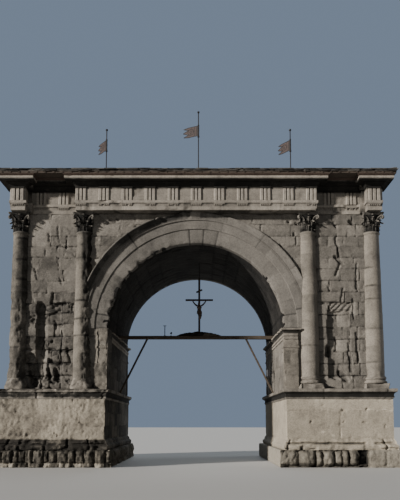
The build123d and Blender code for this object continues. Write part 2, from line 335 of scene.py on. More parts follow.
def lathe(cx, cy, profile, around, displace=None, cap=True):
    """A profile of (radius, z) turned about a vertical axis."""
    prof = np.array(profile, float)
    K = len(prof)
    a = np.arange(around) / around * 2 * math.pi
    P = np.zeros((K, around, 3))
    N = np.stack([np.cos(a), np.sin(a)], 1)
    P[:, :, 0] = cx + prof[:, 0][:, None] * N[:, 0][None]
    P[:, :, 1] = cy + prof[:, 0][:, None] * N[:, 1][None]
    P[:, :, 2] = prof[:, 1][:, None]
    tone = np.full(K * around, 0.5)
    if displace is not None:
        p = P.reshape(-1, 3)
        ang = np.broadcast_to(a[None], (K, around)).ravel()
        d, tone = displace(p, ang, p[:, 2])
        P[:, :, :2] += N[None] * d.reshape(K, around, 1)
    faces = [grid_faces(K, around, closed=True)]
    if cap:
        faces += [np.arange(around)[::-1][None], (np.arange(around) + (K - 1) * around)[None]]
    return P.reshape(-1, 3), faces, tone


def rect(x0, x1, y0, y1):
    return [(x0, y0), (x1, y0), (x1, y1), (x0, y1)]


def sided(s, x0, x1, y0, y1):
    a, b = sorted((s * x0, s * x1))
    return rect(a, b, y0, y1)


def box_mesh(lo, hi, step=None, bevel=0.0):
    """A box with bevelled edges as verts and quads, from rings of points."""
    lo, hi = np.array(lo, float), np.array(hi, float)
    b = bevel
    c = (lo + hi) / 2
    h = (hi - lo) / 2
    v = []
    for z, ins in ((-1, b), (-1, 0), (1, 0), (1, b)):
        zz = c[2] + z * (h[2] - (0 if ins else b))
        if b == 0:
            zz = c[2] + z * h[2]
        i = ins
        hx, hy = h[0] - i, h[1] - i
        bb = b
        ring = [(-hx, -hy + bb), (-hx + bb, -hy), (hx - bb, -hy), (hx, -hy + bb), (hx, hy - bb), (hx - bb, hy), (-hx + bb, hy), (-hx, hy - bb)]
        for x, y in ring:
            v.append((c[0] + x, c[1] + y, zz))
    faces = [grid_faces(4, 8, closed=True), np.arange(8)[::-1][None], (np.arange(8) + 24)[None]]
    return np.array(v), faces


# =====================================================================================
# materials
# =====================================================================================


def new_material(name):
    m = bpy.data.materials.new(name)
    m.use_nodes = True
    nt = m.node_tree
    nt.nodes.clear()
    out = nt.nodes.new("ShaderNodeOutputMaterial")
    sh = nt.nodes.new("ShaderNodeBsdfPrincipled")
    nt.links.new(sh.outputs[0], out.inputs[0])
    return m, nt, sh


def ramp(nt, fac, stops):
    r = nt.nodes.new("ShaderNodeValToRGB")
    e = r.color_ramp.elements
    while len(e) < len(stops):
        e.new(0.5)
    for k, (pos, col) in enumerate(stops):
        e[k].position = pos
        e[k].color = (*col, 1)
    nt.links.new(fac, r.inputs[0])
    return r.outputs[0]


def noise_node(nt, coords, scale, detail=6.0, rough=0.6, distortion=0.0):
    n = nt.nodes.new("ShaderNodeTexNoise")
    n.inputs["Scale"].default_value = scale
    n.inputs["Detail"].default_value = detail
    n.inputs["Roughness"].default_value = rough
    n.inputs["Distortion"].default_value = distortion
    nt.links.new(coords, n.inputs["Vector"])
    return n.outputs["Fac"]


def mix(nt, kind, a, b, fac=1.0):
    n = nt.nodes.new("ShaderNodeMix")
    n.data_type = "RGBA"
    n.blend_type = kind
    if isinstance(fac, (int, float)):
        n.inputs[0].default_value = fac
    else:
        nt.links.new(fac, n.inputs[0])
    nt.links.new(a, n.inputs[6])
    if isinstance(b, tuple):
        n.inputs[7].default_value = (*b, 1)
    else:
        nt.links.new(b, n.inputs[7])
    return n.outputs[2]


def math_node(nt, op, a, b=None, clamp=False):
    n = nt.nodes.new("ShaderNodeMath")
    n.operation = op
    n.use_clamp = clamp
    for k, x in enumerate((a, b)):
        if x is None:
            continue
        if isinstance(x, (int, float)):
            n.inputs[k].default_value = x
        else:
            nt.links.new(x, n.inputs[k])
    return n.outputs[0]


def stone(name, dark, mid, light, pebble=24.0, bump=0.7, grit=0.30, streak=0.35, crust=(0.035, 0.032, 0.030), crust_amount=0.55, use_tone=True, chalk=None):
    """Weathered conglomerate: pebbly grain, block tone from the mesh, damp streaks and dark crust."""
    m, nt, sh = new_material(name)
    tc = nt.nodes.new("ShaderNodeTexCoord").outputs["Object"]
    big = noise_node(nt, tc, 0.55, 5, 0.62, 0.3)
    med = noise_node(nt, tc, 2.6, 6, 0.65)
    fine = noise_node(nt, tc, 14.0, 6, 0.7)
    base = math_node(nt, "ADD", math_node(nt, "MULTIPLY", big, 0.45), math_node(nt, "MULTIPLY", med, 0.55))
    if use_tone:
        at = nt.nodes.new("ShaderNodeAttribute")
        at.attribute_name = "tone"
        base = math_node(nt, "ADD", math_node(nt, "MULTIPLY", base, 0.48), math_node(nt, "MULTIPLY", at.outputs["Fac"], 0.62))
    base = math_node(nt, "ADD", base, math_node(nt, "MULTIPLY", math_node(nt, "SUBTRACT", fine, 0.5), grit))
    deep = tuple(0.30 * c for c in dark)
    colour = ramp(nt, base, [(0.25, deep), (0.36, dark), (0.56, mid), (0.84, light)] + ([(0.97, chalk)] if chalk else []))
    # pebbles and pits
    vo = nt.nodes.new("ShaderNodeTexVoronoi")
    vo.inputs["Scale"].default_value = pebble
    nt.links.new(tc, vo.inputs["Vector"])
    vcol = nt.nodes.new("ShaderNodeSeparateColor")
    nt.links.new(vo.outputs["Color"], vcol.inputs[0])
    peb = ramp(nt, vcol.outputs[0], [(0.0, (0.62, 0.60, 0.57)), (0.5, (0.95, 0.94, 0.92)), (1.0, (1.18, 1.16, 1.12))])
    colour = mix(nt, "MULTIPLY", colour, peb, 0.55)
    # vertical damp streaks
    mp = nt.nodes.new("ShaderNodeMapping")
    mp.inputs["Scale"].default_value = (2.6, 2.6, 0.22)
    nt.links.new(tc, mp.inputs["Vector"])
    st = noise_node(nt, mp.outputs[0], 1.3, 5, 0.6, 0.4)
    stf = ramp(nt, st, [(0.50, (0, 0, 0)), (0.72, (1, 1, 1))])
    stf2 = math_node(nt, "MULTIPLY", stf, streak)
    colour = mix(nt, "MULTIPLY", colour, (0.42, 0.41, 0.40), stf2)
    # dark crust in patches
    cr = noise_node(nt, tc, 1.15, 7, 0.7, 0.5)
    crf = math_node(nt, "MULTIPLY", ramp(nt, cr, [(0.56, (0, 0, 0)), (0.74, (1, 1, 1))]), crust_amount)
    colour = mix(nt, "MIX", colour, crust, crf)
    nt.links.new(colour, sh.inputs["Base Color"])
    rough = math_node(nt, "ADD", math_node(nt, "MULTIPLY", med, 0.15), 0.82)
    nt.links.new(rough, sh.inputs["Roughness"])
    sh.inputs["Specular IOR Level"].default_value = 0.22
    # relief
    h = math_node(nt, "ADD", math_node(nt, "MULTIPLY", fine, 0.9), math_node(nt, "MULTIPLY", vo.outputs["Distance"], 0.22))
    h = math_node(nt, "ADD", h, math_node(nt, "MULTIPLY", noise_node(nt, tc, 42.0, 4, 0.7), 0.22))
    bp = nt.nodes.new("ShaderNodeBump")
    bp.inputs["Strength"].default_value = bump
    bp.inputs["Distance"].default_value = 0.07
    nt.links.new(h, bp.inputs["Height"])
    nt.links.new(bp.outputs[0], sh.inputs["Normal"])
    return m


M_WALL = stone("ashlar_conglomerate", (0.040, 0.037, 0.033), (0.150, 0.138, 0.122), (0.270, 0.248, 0.218), bump=0.42)
M_PED_L = stone("pedestal_conglomerate", (0.069, 0.062, 0.052), (0.219, 0.195, 0.159), (0.344, 0.308, 0.251), bump=0.40, grit=0.26, streak=0.25, crust_amount=0.35)
M_PED_R = stone("pedestal_sandstone", (0.096, 0.087, 0.072), (0.294, 0.262, 0.213), (0.439, 0.393, 0.321), bump=0.22, grit=0.20, streak=0.30, crust_amount=0.34, chalk=(0.706, 0.663, 0.589))
M_SOCLE = stone("rough_socle_stone", (0.030, 0.027, 0.022), (0.130, 0.118, 0.098), (0.290, 0.265, 0.222), pebble=14.0, bump=0.5, crust_amount=0.5)
M_COLUMN = stone("column_stone", (0.050, 0.046, 0.040), (0.172, 0.156, 0.134), (0.290, 0.262, 0.225), bump=0.26, grit=0.22, streak=0.35, crust_amount=0.35)
M_CARVED = stone("carved_stone", (0.040, 0.037, 0.032), (0.205, 0.186, 0.162), (0.370, 0.336, 0.292), pebble=26.0, bump=0.25, grit=0.22, streak=0.30, crust_amount=0.40)
M_CAPITAL = stone("capital_stone", (0.022, 0.021, 0.019), (0.120, 0.111, 0.099), (0.275, 0.252, 0.220), pebble=26.0, bump=0.3, streak=0.2, crust_amount=0.5)
M_RING = stone("archivolt_stone", (0.038, 0.036, 0.033), (0.142, 0.132, 0.119), (0.245, 0.227, 0.203), pebble=26.0, bump=0.24, grit=0.2, streak=0.30, crust_amount=0.40)
# the vault stone's near-black colour is painted shade for the inside of the arch
M_VAULT_PAINTED_SHADE = stone("vault_stone", (0.010, 0.0095, 0.009), (0.028, 0.026, 0.024), (0.062, 0.057, 0.051), crust_amount=0.5)
M_CYMA = stone("reddish_gutter_stone", (0.022, 0.016, 0.013), (0.062, 0.044, 0.035), (0.120, 0.088, 0.070), pebble=26.0, bump=0.3, streak=0.20, crust_amount=0.30)

M_SLATE = stone("slate_stone", (0.030, 0.029, 0.028), (0.085, 0.080, 0.074), (0.170, 0.158, 0.142), pebble=9.0, bump=0.45, streak=0.15, crust_amount=0.25)


def simple_material(name, dark, light, scale=8.0, rough=0.6, metal=0.0, bump=0.3, stretch=(1, 1, 1), spec=0.3):
    m, nt, sh = new_material(name)
    tc = nt.nodes.new("ShaderNodeTexCoord").outputs["Object"]
    mp = nt.nodes.new("ShaderNodeMapping")
    mp.inputs["Scale"].default_value = stretch
    nt.links.new(tc, mp.inputs["Vector"])
    n1 = noise_node(nt, mp.outputs[0], scale, 6, 0.65, 0.2)
    n2 = noise_node(nt, mp.outputs[0], scale * 5.3, 5, 0.7)
    f = math_node(nt, "ADD", math_node(nt, "MULTIPLY", n1, 0.65), math_node(nt, "MULTIPLY", n2, 0.35))
    nt.links.new(ramp(nt, f, [(0.32, dark), (0.68, light)]), sh.inputs["Base Color"])
    r = math_node(nt, "ADD", math_node(nt, "MULTIPLY", n2, 0.25), rough - 0.12)
    nt.links.new(r, sh.inputs["Roughness"])
    sh.inputs["Metallic"].default_value = metal
    sh.inputs["Specular IOR Level"].default_value = spec
    bp = nt.nodes.new("ShaderNodeBump")
    bp.inputs["Strength"].default_value = bump
    bp.inputs["Distance"].default_value = 0.01
    nt.links.new(f, bp.inputs["Height"])
    nt.links.new(bp.outputs[0], sh.inputs["Normal"])
    return m


M_IRON = simple_material("forged_iron", (0.012, 0.011, 0.012), (0.036, 0.031, 0.030), 9, 0.66, 0.35, 0.4)
M_RUST = simple_material("rusted_sheet_iron", (0.034, 0.025, 0.025), (0.098, 0.071, 0.064), 5, 0.75, 0.15, 0.4)
M_TIMBER = simple_material("dark_timber", (0.028, 0.022, 0.017), (0.105, 0.082, 0.060), 3.0, 0.78, 0.0, 0.5, (1, 6, 6))
M_CROSS = simple_material("dark_cross_timber", (0.018, 0.014, 0.012), (0.060, 0.045, 0.034), 4.0, 0.7, 0.0, 0.5, (5, 5, 0.8))
M_FIGURE = simple_material("painted_figure", (0.060, 0.045, 0.036), (0.120, 0.090, 0.070), 10, 0.6, 0.0, 0.25)
M_PLATE = simple_material("dark_painted_board", (0.020, 0.017, 0.014), (0.070, 0.058, 0.046), 12, 0.7)
M_LAMP = simple_material("dark_lamp_metal", (0.015, 0.015, 0.017), (0.045, 0.045, 0.050), 14, 0.5, 0.2)
M_ROCK = stone("mound_rock", (0.020, 0.018, 0.015), (0.055, 0.048, 0.040), (0.130, 0.115, 0.095), pebble=22.0, bump=0.5, crust_amount=0.3)


def place(ob, mat, body="arch", nodes=()):
    ob.data.materials.clear()
    ob.data.materials.append(mat)
    if nodes:
        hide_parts(*nodes)
    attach(ob, body)
    return ob


# =====================================================================================
# plinth storey: socle, pedestals, their cornices
# =====================================================================================
FRONT = 0.045 * F      # mesh spacing on the photographed front
REST = 0.085 * F       # and on the other sides


def spacing_front(i, a, b, n):
    return FRONT if n[1] < -0.5 else REST


def inner_spacing(i, a, b, n):
    """Finer on the front and on the passage walls."""
    return FRONT if n[1] < -0.5 else (0.065 * F if abs(a[0]) < 5.0 and abs(b[0]) < 5.0 else REST)


def ped_spacing(i, a, b, n):
    return 0.034 * F if n[1] < -0.5 else (0.065 * F if abs(a[0]) < 5.0 and abs(b[0]) < 5.0 else REST)


SIDES = ((-1, "left"), (1, "right"))


def wear_map(p, base):
    """More erosion on the left half of the front and low down, as the stone shows."""
    x, y, z = p[:, 0], p[:, 1], p[:, 2]
    w = base + 0.16 * (x < 0) * (y < -3) + 0.10 * fbm(p * 0.45, 2, 901)
    return np.clip(w, 0, 1)


def carve(x, z, p, marks):
    """Local damage: worn lines and hollows given as (x0, z0, x1, z1, radius, depth)."""
    wx = x + 0.05 * vnoise(p * 3.1, 331) + 0.03 * vnoise(p * 8.0, 332)
    wz = z + 0.05 * vnoise(p * 3.1, 333) + 0.03 * vnoise(p * 8.0, 334)
    d = np.zeros(len(x))
    for x0, z0, x1, z1, r, depth in marks:
        m = (np.abs(wx - (x0 + x1) / 2) < abs(x1 - x0) / 2 + r + 0.1) & (np.abs(wz - (z0 + z1) / 2) < abs(z1 - z0) / 2 + r + 0.1)
        if not m.any():
            continue
        ax, az_ = x1 - x0, z1 - z0
        L = max(ax * ax + az_ * az_, 1e-9)
        t = np.clip(((wx[m] - x0) * ax + (wz[m] - z0) * az_) / L, 0, 1)
        dist = np.hypot(wx[m] - x0 - ax * t, wz[m] - z0 - az_ * t)
        d[m] = np.maximum(d[m], depth * smooth(r - dist, -0.02 - 0.22 * depth, 0.02 + 0.25 * depth))
    return d


CB = Courses([0.5, 1.5], (0.45, 1.35), 59)
CB.fix(1.0, 4.2, 9.8, (4.56, 5.17, 5.81, 6.68, 7.94, 9.0))
CB.fix(1.0, -9.8, -4.2, (-9.0, -8.37, -7.19, -6.2, -5.22))
PED_MARKS = [
    (7.06, 2.75, 7.07, 2.76, 0.05, 0.07), (8.24, 2.79, 8.25, 2.80, 0.05, 0.07), (8.03, 2.12, 8.22, 2.12, 0.03, 0.06), (5.54, 2.16, 5.55, 2.17, 0.05, 0.06),
    (7.14, 2.16, 7.15, 2.17, 0.045, 0.06), (9.10, 1.90, 9.14, 2.02, 0.04, 0.04), (6.10, 2.96, 6.16, 2.98, 0.04, 0.04), (6.97, 1.46, 6.97, 2.70, 0.012, 0.035), (7.90, 2.695, 9.50, 2.695, 0.006, 0.030),
    (8.35, 2.10, 8.80, 2.13, 0.008, 0.03), (6.38, 1.86, 6.50, 2.12, 0.012, 0.03), (9.22, 1.75, 9.26, 2.45, 0.006, 0.03),
    (-8.75, 2.75, -8.66, 2.60, 0.05, 0.04), (-7.45, 2.10, -7.38, 1.95, 0.05, 0.035), (-6.10, 2.90, -5.95, 2.80, 0.06, 0.03), (-5.60, 2.10, -5.45, 1.98, 0.05, 0.035),
    (-8.15, 1.50, -8.10, 1.48, 0.05, 0.06), (-6.70, 1.62, -6.68, 1.50, 0.03, 0.04),
]
PALE = ((7.86, 2.71, 9.55, 2.71, 0.014), (6.56, 1.48, 6.62, 1.48, 0.035), (6.04, 1.65, 6.12, 1.65, 0.035), (6.97, 1.44, 6.97, 1.60, 0.012))
for s, side in SIDES:
    # socle: big rounded boulders, worn back between the joints
    cs = Courses([0.05, 0.79], (0.52, 0.86), 41) if s > 0 else Courses([0.22, 0.79], (0.20, 0.62), 43)
    if s > 0:
        cs.fix(0.5, 3.95, 9.95, (4.94, 5.70, 6.0, 6.61, 6.97, 7.27, 7.70, 8.20, 9.05))

    def socle_d(p, u, z, n, o, cs=cs, s=s):
        bed, stand, block, lx, lz = cs.at(u + 0.05 * vnoise(p * 2.0, 3), z + 0.03 * vnoise(p * 2.0, 4))
        r0, r1 = cs.rand(block, 0), cs.rand(block, 1)
        front = np.abs(n[:, 1]) > 0.5
        calm = smooth(p[:, 0], 8.15, 8.35) if s > 0 else 0.0 * u        # dressed stones further out on the right
        passage = (~front) & (np.abs(p[:, 0]) < 5.5)
        calm = np.where(passage & (s > 0), 1.0, calm)
        depth = (0.17 + 0.16 * r1) * (1 - 0.75 * calm) * (1.0 if s > 0 else 0.62)
        q = np.clip(1 - np.abs(lx) ** 2.6, 0, 1) ** 0.55 * np.clip(1 - np.abs(lz) ** 2.8, 0, 1) ** 0.5
        q = np.where(calm > 0.5, np.clip(q * 1.6, 0, 1), q)
        d = -depth * (1 - q)
        d += 0.035 * fbm(p * 3.0, 3, 61) + 0.030 * fbm(p * 8.0, 3, 62) - 0.09 * (r0 > 0.70) * (1 - calm)
        streaks = fbm(p * np.array([7.5, 7.5, 1.2]), 2, 65)
        ragged = (s < 0) * front
        d += ragged * (0.070 * streaks + 0.085 * np.minimum(fbm(p * np.array([4.5, 4.5, 3.0]), 4, 67, 0.62), 0.15))
        d = np.where(passage & (s > 0), 0.25 * d, d)
        open_ = front * (s > 0) * (p[:, 1] < 0) * smooth(p[:, 0], 7.70, 7.80) * (1 - smooth(p[:, 0], 8.10, 8.22)) * smooth(z, 0.10, 0.20)
        d = d - 0.20 * open_
        big_ = front * (s > 0) * (p[:, 1] < 0) * (1 - calm)
        d = d + big_ * (0.11 * np.minimum(fbm(p * np.array([2.6, 2.6, 2.2]), 3, 90, 0.6), 0.10) + 0.035 * fbm(p * 9.0, 3, 91) - 0.10 * (1 - smooth(z + 0.12 * vnoise(p * 2.2, 92), 0.06, 0.24)))
        d += ragged * 0.030 * fbm(p * np.array([13.0, 13.0, 5.0]), 2, 69)
        # painted shade: the tone falls with how far the surface is pushed in, so the gaps between the boulders and the
        # open hole read dark
        tone = 0.58 + 0.10 * (s > 0) + 0.36 * (r0 - 0.5) + 1.2 * np.minimum(d + 0.04, 0.0) + 0.16 * fbm(p * 5, 3, 66) + ragged * (-0.26 + 0.50 * (z < 0.22) * (r1 > 0.35) + 0.30 * fbm(p * 7, 3, 68))
        tone = tone + 0.35 * (passage & (s > 0)) + 0.24 * calm - 0.30 * open_
        inner = smooth(-o, 0.05, 0.2)
        return d * (1 - inner), tone, 0.03 * fbm(p * 3.0, 2, 63) * (z > 0.05) * (z < 0.75) * (1 - inner)

    prof = fine_profile([(-0.6, 0.0), (-0.03, 0.0), (0.0, 0.03), (0.0, 0.79), (-0.03, 0.82), (-0.6, 0.82)], 0.036 * F)
    v, f, t = sweep(sided(s, DIE_X0 - 0.4, DIE_X1 + 0.4, -DIE_Y - 0.4, DIE_Y + 0.4), prof, ped_spacing, socle_d)
    place(mesh_object("rough_socle_" + side, v, f, t, 50), M_SOCLE, nodes=("socle_" + side,))

    # pedestal: base moulding and die
    cp = Courses([0.82, 1.33, 2.71, 3.25], (1.6, 2.8), 51) if s > 0 else Courses([0.82, 1.33, 1.95, 2.60, 3.25], (0.9, 1.9), 55)
    if s > 0:
        cp.fix(2.0, 4.0, 9.9, (6.97,))
        cp.fix(3.0, 4.0, 9.9, (5.75, 7.86))
    else:
        for z_, js in ((1.6, (-8.37, -7.19, -5.22)), (2.2, (-7.80, -6.35, -5.22)), (2.9, (-8.66, -7.68, -6.35, -5.22))):
            cp.fix(z_, -9.9, -4.0, js)

    def ped_d(p, u, z, n, o, cp=cp, s=s):
        rough_side = (s < 0) * (n[:, 1] < -0.5) + 0.0
        wear = wear_map(p, 0.06) + 0.05 * rough_side
        d, tone, g = masonry(p, u, z, cp, wear, 70 if s > 0 else 90, joint=0.014, depth=0.030 if s > 0 else 0.018, rough=0.014, jitter=0.006, crisp=0.0)
        d = np.where(rough_side > 0, 0.15 * d, d)
        tone = np.where(rough_side > 0, 0.54 + 0.6 * (tone - 0.54), tone)
        fine = fbm(p * np.array([8.0, 8.0, 6.5]), 3, 79)
        coarse = fbm(p * np.array([3.2, 3.2, 2.6]), 3, 80)
        patch = fbm(p * np.array([0.9, 0.9, 1.1]) + 4.0, 3, 78)
        billow = np.abs(fbm(p * np.array([4.6, 4.6, 3.6]) + 0.2 * coarse[:, None], 2, 99)) + 0.5 * np.abs(fbm(p * np.array([9.5, 9.5, 7.5]), 2, 97))
        d = d + rough_side * (0.015 * fine + 0.035 * np.minimum(coarse, 0.12) + 0.115 * (np.minimum(billow, 0.30) - 0.16)) * (0.7 + 0.7 * smooth(patch, -0.2, 0.3))
        tone = tone + rough_side * (0.25 * fine + 0.30 * coarse + 0.24 * patch + 0.55 * (np.minimum(billow, 0.30) - 0.16))
        x_ = p[:, 0] + 0.06 * vnoise(p * 2.3, 88)
        z_ = z + 0.06 * vnoise(p * 2.3, 89)
        tone = tone + rough_side * (0.17 * smooth(x_, -7.72, -7.66) * (1 - smooth(x_, -6.38, -6.32)) * smooth(z_, 2.27, 2.32) - 0.13 * (1 - smooth(x_, -7.70, -7.62)) * smooth(z_, 1.40, 1.50))
        lump = fbm(p * np.array([1.7, 1.7, 1.5]), 3, 98)
        d = d + rough_side * 0.050 * np.minimum(lump, 0.12)
        front_ = (n[:, 1] < -0.5) + 0.0
        cut = carve(p[:, 0], z, p, PED_MARKS) * front_
        d = d - cut
        # painted shade: the carved pits and cracks are darkened in proportion to their depth
        tone = tone - 2.2 * cut
        for x0_, z0_, x1_, z1_, w_ in PALE:
            if s > 0:
                ax_, az_ = x1_ - x0_, z1_ - z0_
                tt_ = np.clip(((x_ - x0_) * ax_ + (z_ - z0_) * az_) / max(ax_ * ax_ + az_ * az_, 1e-9), 0, 1)
                tone = tone + 0.42 * front_ * (1 - smooth(np.hypot(x_ - x0_ - ax_ * tt_, z_ - z0_ - az_ * tt_), w_, w_ + 0.03))
        low = 1 - smooth(z, 1.27, 1.36)
        front = np.abs(n[:, 1]) > 0.5
        # the base course: separate stones with open joints and a worn line under the roll
        bb, bs, bk, blx, blz = CB.at(u, z * 0 + 1.0)
        rb = CB.rand(bk, 1)
        gap = (1 - smooth(bs, 0.0, 0.05 + 0.10 * rb)) * smooth(fbm(p * 1.6, 2, 81), -0.3, 0.2)
        lz_ = z + 0.03 * vnoise(p * 1.5, 8)
        line = (1 - smooth(np.abs(lz_ - (1.135 if s > 0 else 1.085)), 0.02, 0.055)) * smooth(fbm(p * np.array([1.1, 1.1, 0.3]), 2, 82), -0.35, -0.05)
        line = np.maximum(line, (s > 0) * (1 - smooth(np.abs(lz_ - 0.885), 0.012, 0.045)) * smooth(fbm(p * np.array([1.3, 1.3, 0.3]), 2, 83), -0.25, 0.05))
        eaten = smooth(fbm(p * np.array([1.3, 1.3, 2.4]), 3, 77), -0.05 - 0.15 * (s < 0), 0.40)
        d = d + low * front * (s < 0) * (0.035 * fbm(p * np.array([2.4, 2.4, 13.0]), 3, 75) + 0.03 * fine)
        d = d - low * front * (0.10 * gap + 0.085 * line + (0.06 + 0.07 * (s < 0)) * eaten + 0.02 * fine)
        tone = tone - low * front * (0.35 * gap + 0.38 * line + 0.10 * eaten) - (0.62 + 0.2 * fbm(p * np.array([2.0, 2.0, 12.0]), 3, 76)) * low * (s < 0) * front + 0.06
        # painted shade on the left pedestal's face towards the passage; the right pedestal is a little lighter all over
        tone = tone + 0.12 * (s > 0) - 0.42 * (s < 0) * (n[:, 0] > 0.5)
        tone = tone + (s > 0) * (0.16 * fbm(p * np.array([0.8, 0.8, 1.1]) + 2.0, 3, 94) - 0.10 * smooth(fbm(p * np.array([3.2, 3.2, 0.5]), 3, 95), 0.05, 0.4) * smooth(z, 2.2, 3.1))
        inner = smooth(-o, 0.08, 0.25)
        return d * (1 - inner), tone, 0 * d

    prof = [(-0.7, 0.82), (0.16, 0.82), (0.19, 0.88), (0.19, 1.02), (0.16, 1.06), (0.10, 1.10), (0.085, 1.14), (0.075, 1.22), (0.035, 1.28), (0.0, 1.34), (0.0, 3.25), (-0.7, 3.25)]
    prof = fine_profile(prof, 0.036 * F)
    v, f, t = sweep(sided(s, DIE_X0, DIE_X1, -DIE_Y, DIE_Y), prof, ped_spacing, ped_d)
    place(mesh_object("pedestal_die_" + side, v, f, t, 45), M_PED_L if s < 0 else M_PED_R, nodes=("pedestal_" + side,))

    # pedestal cornice
    cc = Courses([3.2, 3.9], (1.1, 2.2), 57 + s)

    def pcor_d(p, u, z, n, o, cc=cc, s=s):
        bed, stand, block, lx, lz = cc.at(u, z)
        g = 1 - smooth(stand, 0, 0.035)
        wear = smooth(fbm(p * np.array([1.1, 1.1, 0.6]), 3, 82), -0.35 if s < 0 else 0.05, 0.5)
        d = -0.02 * g + 0.016 * fbm(p * 3.5, 3, 83) - (0.10 if s < 0 else 0.055) * wear * smooth(o, 0.02, 0.15)
        worn_front = (s < 0) * (n[:, 1] < -0.5) * smooth(o, 0.0, 0.06)
        lumps = fbm(p * np.array([3.0, 3.0, 5.0]), 4, 86, 0.62)
        gap = (1 - smooth(stand, 0.0, 0.07)) * smooth(fbm(p * 1.2, 2, 87), -0.3, 0.2)
        rub = fbm(p * np.array([4.0, 4.0, 2.0]), 4, 88, 0.6)
        d = d + worn_front * (0.15 * np.minimum(lumps, 0.15) - 0.05 - 0.06 * gap - (0.05 + 0.10 * smooth(rub, -0.1, 0.3)) * smooth(z, 3.62, 3.74))
        inner = smooth(-o, 0.1, 0.4)
        tone = 0.50 + worn_front * (0.40 * lumps - 0.22 * gap) + 0.16 * fbm(p * 1.2, 2, 84) - 0.3 * g - 0.10 * wear - 0.46 * smooth(z, 3.32, 3.345) * (1 - smooth(z, 3.58, 3.61)) - 0.10 * (s < 0)
        tone = tone + worn_front * (0.30 * smooth(rub, -0.25, 0.25) * smooth(z, 3.32, 3.36) * (1 - smooth(z, 3.56, 3.60)) + 0.35 * rub)
        dz = (0.012 * fbm(p * 2.5, 2, 85) - 0.04 * wear * smooth(z, 3.6, 3.75) + (s < 0) * (n[:, 1] < -0.5) * (0.05 * np.minimum(rub, 0.1) - 0.02) * smooth(z, 3.55, 3.72)) * (1 - inner)
        return d * (1 - inner), tone, dz

    prof = [(-0.7, 3.25), (0.0, 3.25), (0.02, 3.28), (0.055, 3.32), (0.06, 3.375), (0.045, 3.39), (0.03, 3.44), (0.04, 3.50), (0.075, 3.545), (0.13, 3.575), (0.155, 3.58), (0.16, 3.60), (0.19, 3.615), (0.19, 3.745), (0.17, 3.76), (-0.30, 3.775), (-0.7, 3.775)]
    prof = fine_profile(prof, 0.05 * F)
    v, f, t = sweep(sided(s, DIE_X0, DIE_X1, -DIE_Y, DIE_Y), prof, inner_spacing, pcor_d)
    place(mesh_object("pedestal_cap_" + side, v, f, t, 40), M_CARVED, nodes=("pedestal_cornice_" + side,))

# =====================================================================================
# walls: piers and spandrels
# =====================================================================================
CWR = Courses([3.76, 4.45, 5.06, 5.67, 6.29, 6.91, 7.54, 8.17, 8.71, 9.28, 9.90, 10.46, 11.06, 11.59, 12.20, 12.74], (0.85, 1.75), 101)
for z_, js in ((12.4, (6.95, 7.95)), (11.9, (7.16, 8.16)), (11.3, (6.72, 7.49, 8.28)), (10.7, (7.20, 7.90)), (10.2, (6.72, 7.37, 7.99)), (9.6, (7.29, 8.28)), (9.0, (6.77, 8.13)), (8.4, (7.52, 8.30)),
               (7.8, (7.76, 8.19)), (7.2, (7.10, 7.76)), (6.6, (7.35, 7.74, 8.11)), (6.0, (7.05, 7.76, 8.25)), (5.3, (7.40, 7.74, 8.11)), (4.8, (7.15, 7.78, 8.2)), (4.1, (7.3, 7.9))):
    CWR.fix(z_, 6.25, 8.5, js)
CWL = Courses([3.76, 4.45, 5.10, 5.75, 6.42, 7.05, 7.60, 8.10, 8.66, 9.25, 9.84, 10.45, 11.05, 11.60, 12.20, 12.74], (0.95, 2.05), 113)
for z_, js in ((12.4, (-7.41,)), (11.9, (-7.41, -6.6)), (11.3, (-7.41, -6.60)), (10.7, (-7.72, -7.10)), (10.2, (-7.96, -7.00)), (9.6, (-8.13, -6.74)), (9.0, (-7.55,)), (8.4, (-8.18, -7.24)),
               (7.8, (-6.78,)), (7.3, (-7.40, -6.78)), (6.7, (-7.15, -6.76)), (6.0, (-6.78,)), (5.4, (-7.25, -6.80)), (4.8, (-7.40, -6.85)), (4.1, (-7.3,))):
    CWL.fix(z_, -8.5, -6.25, js)


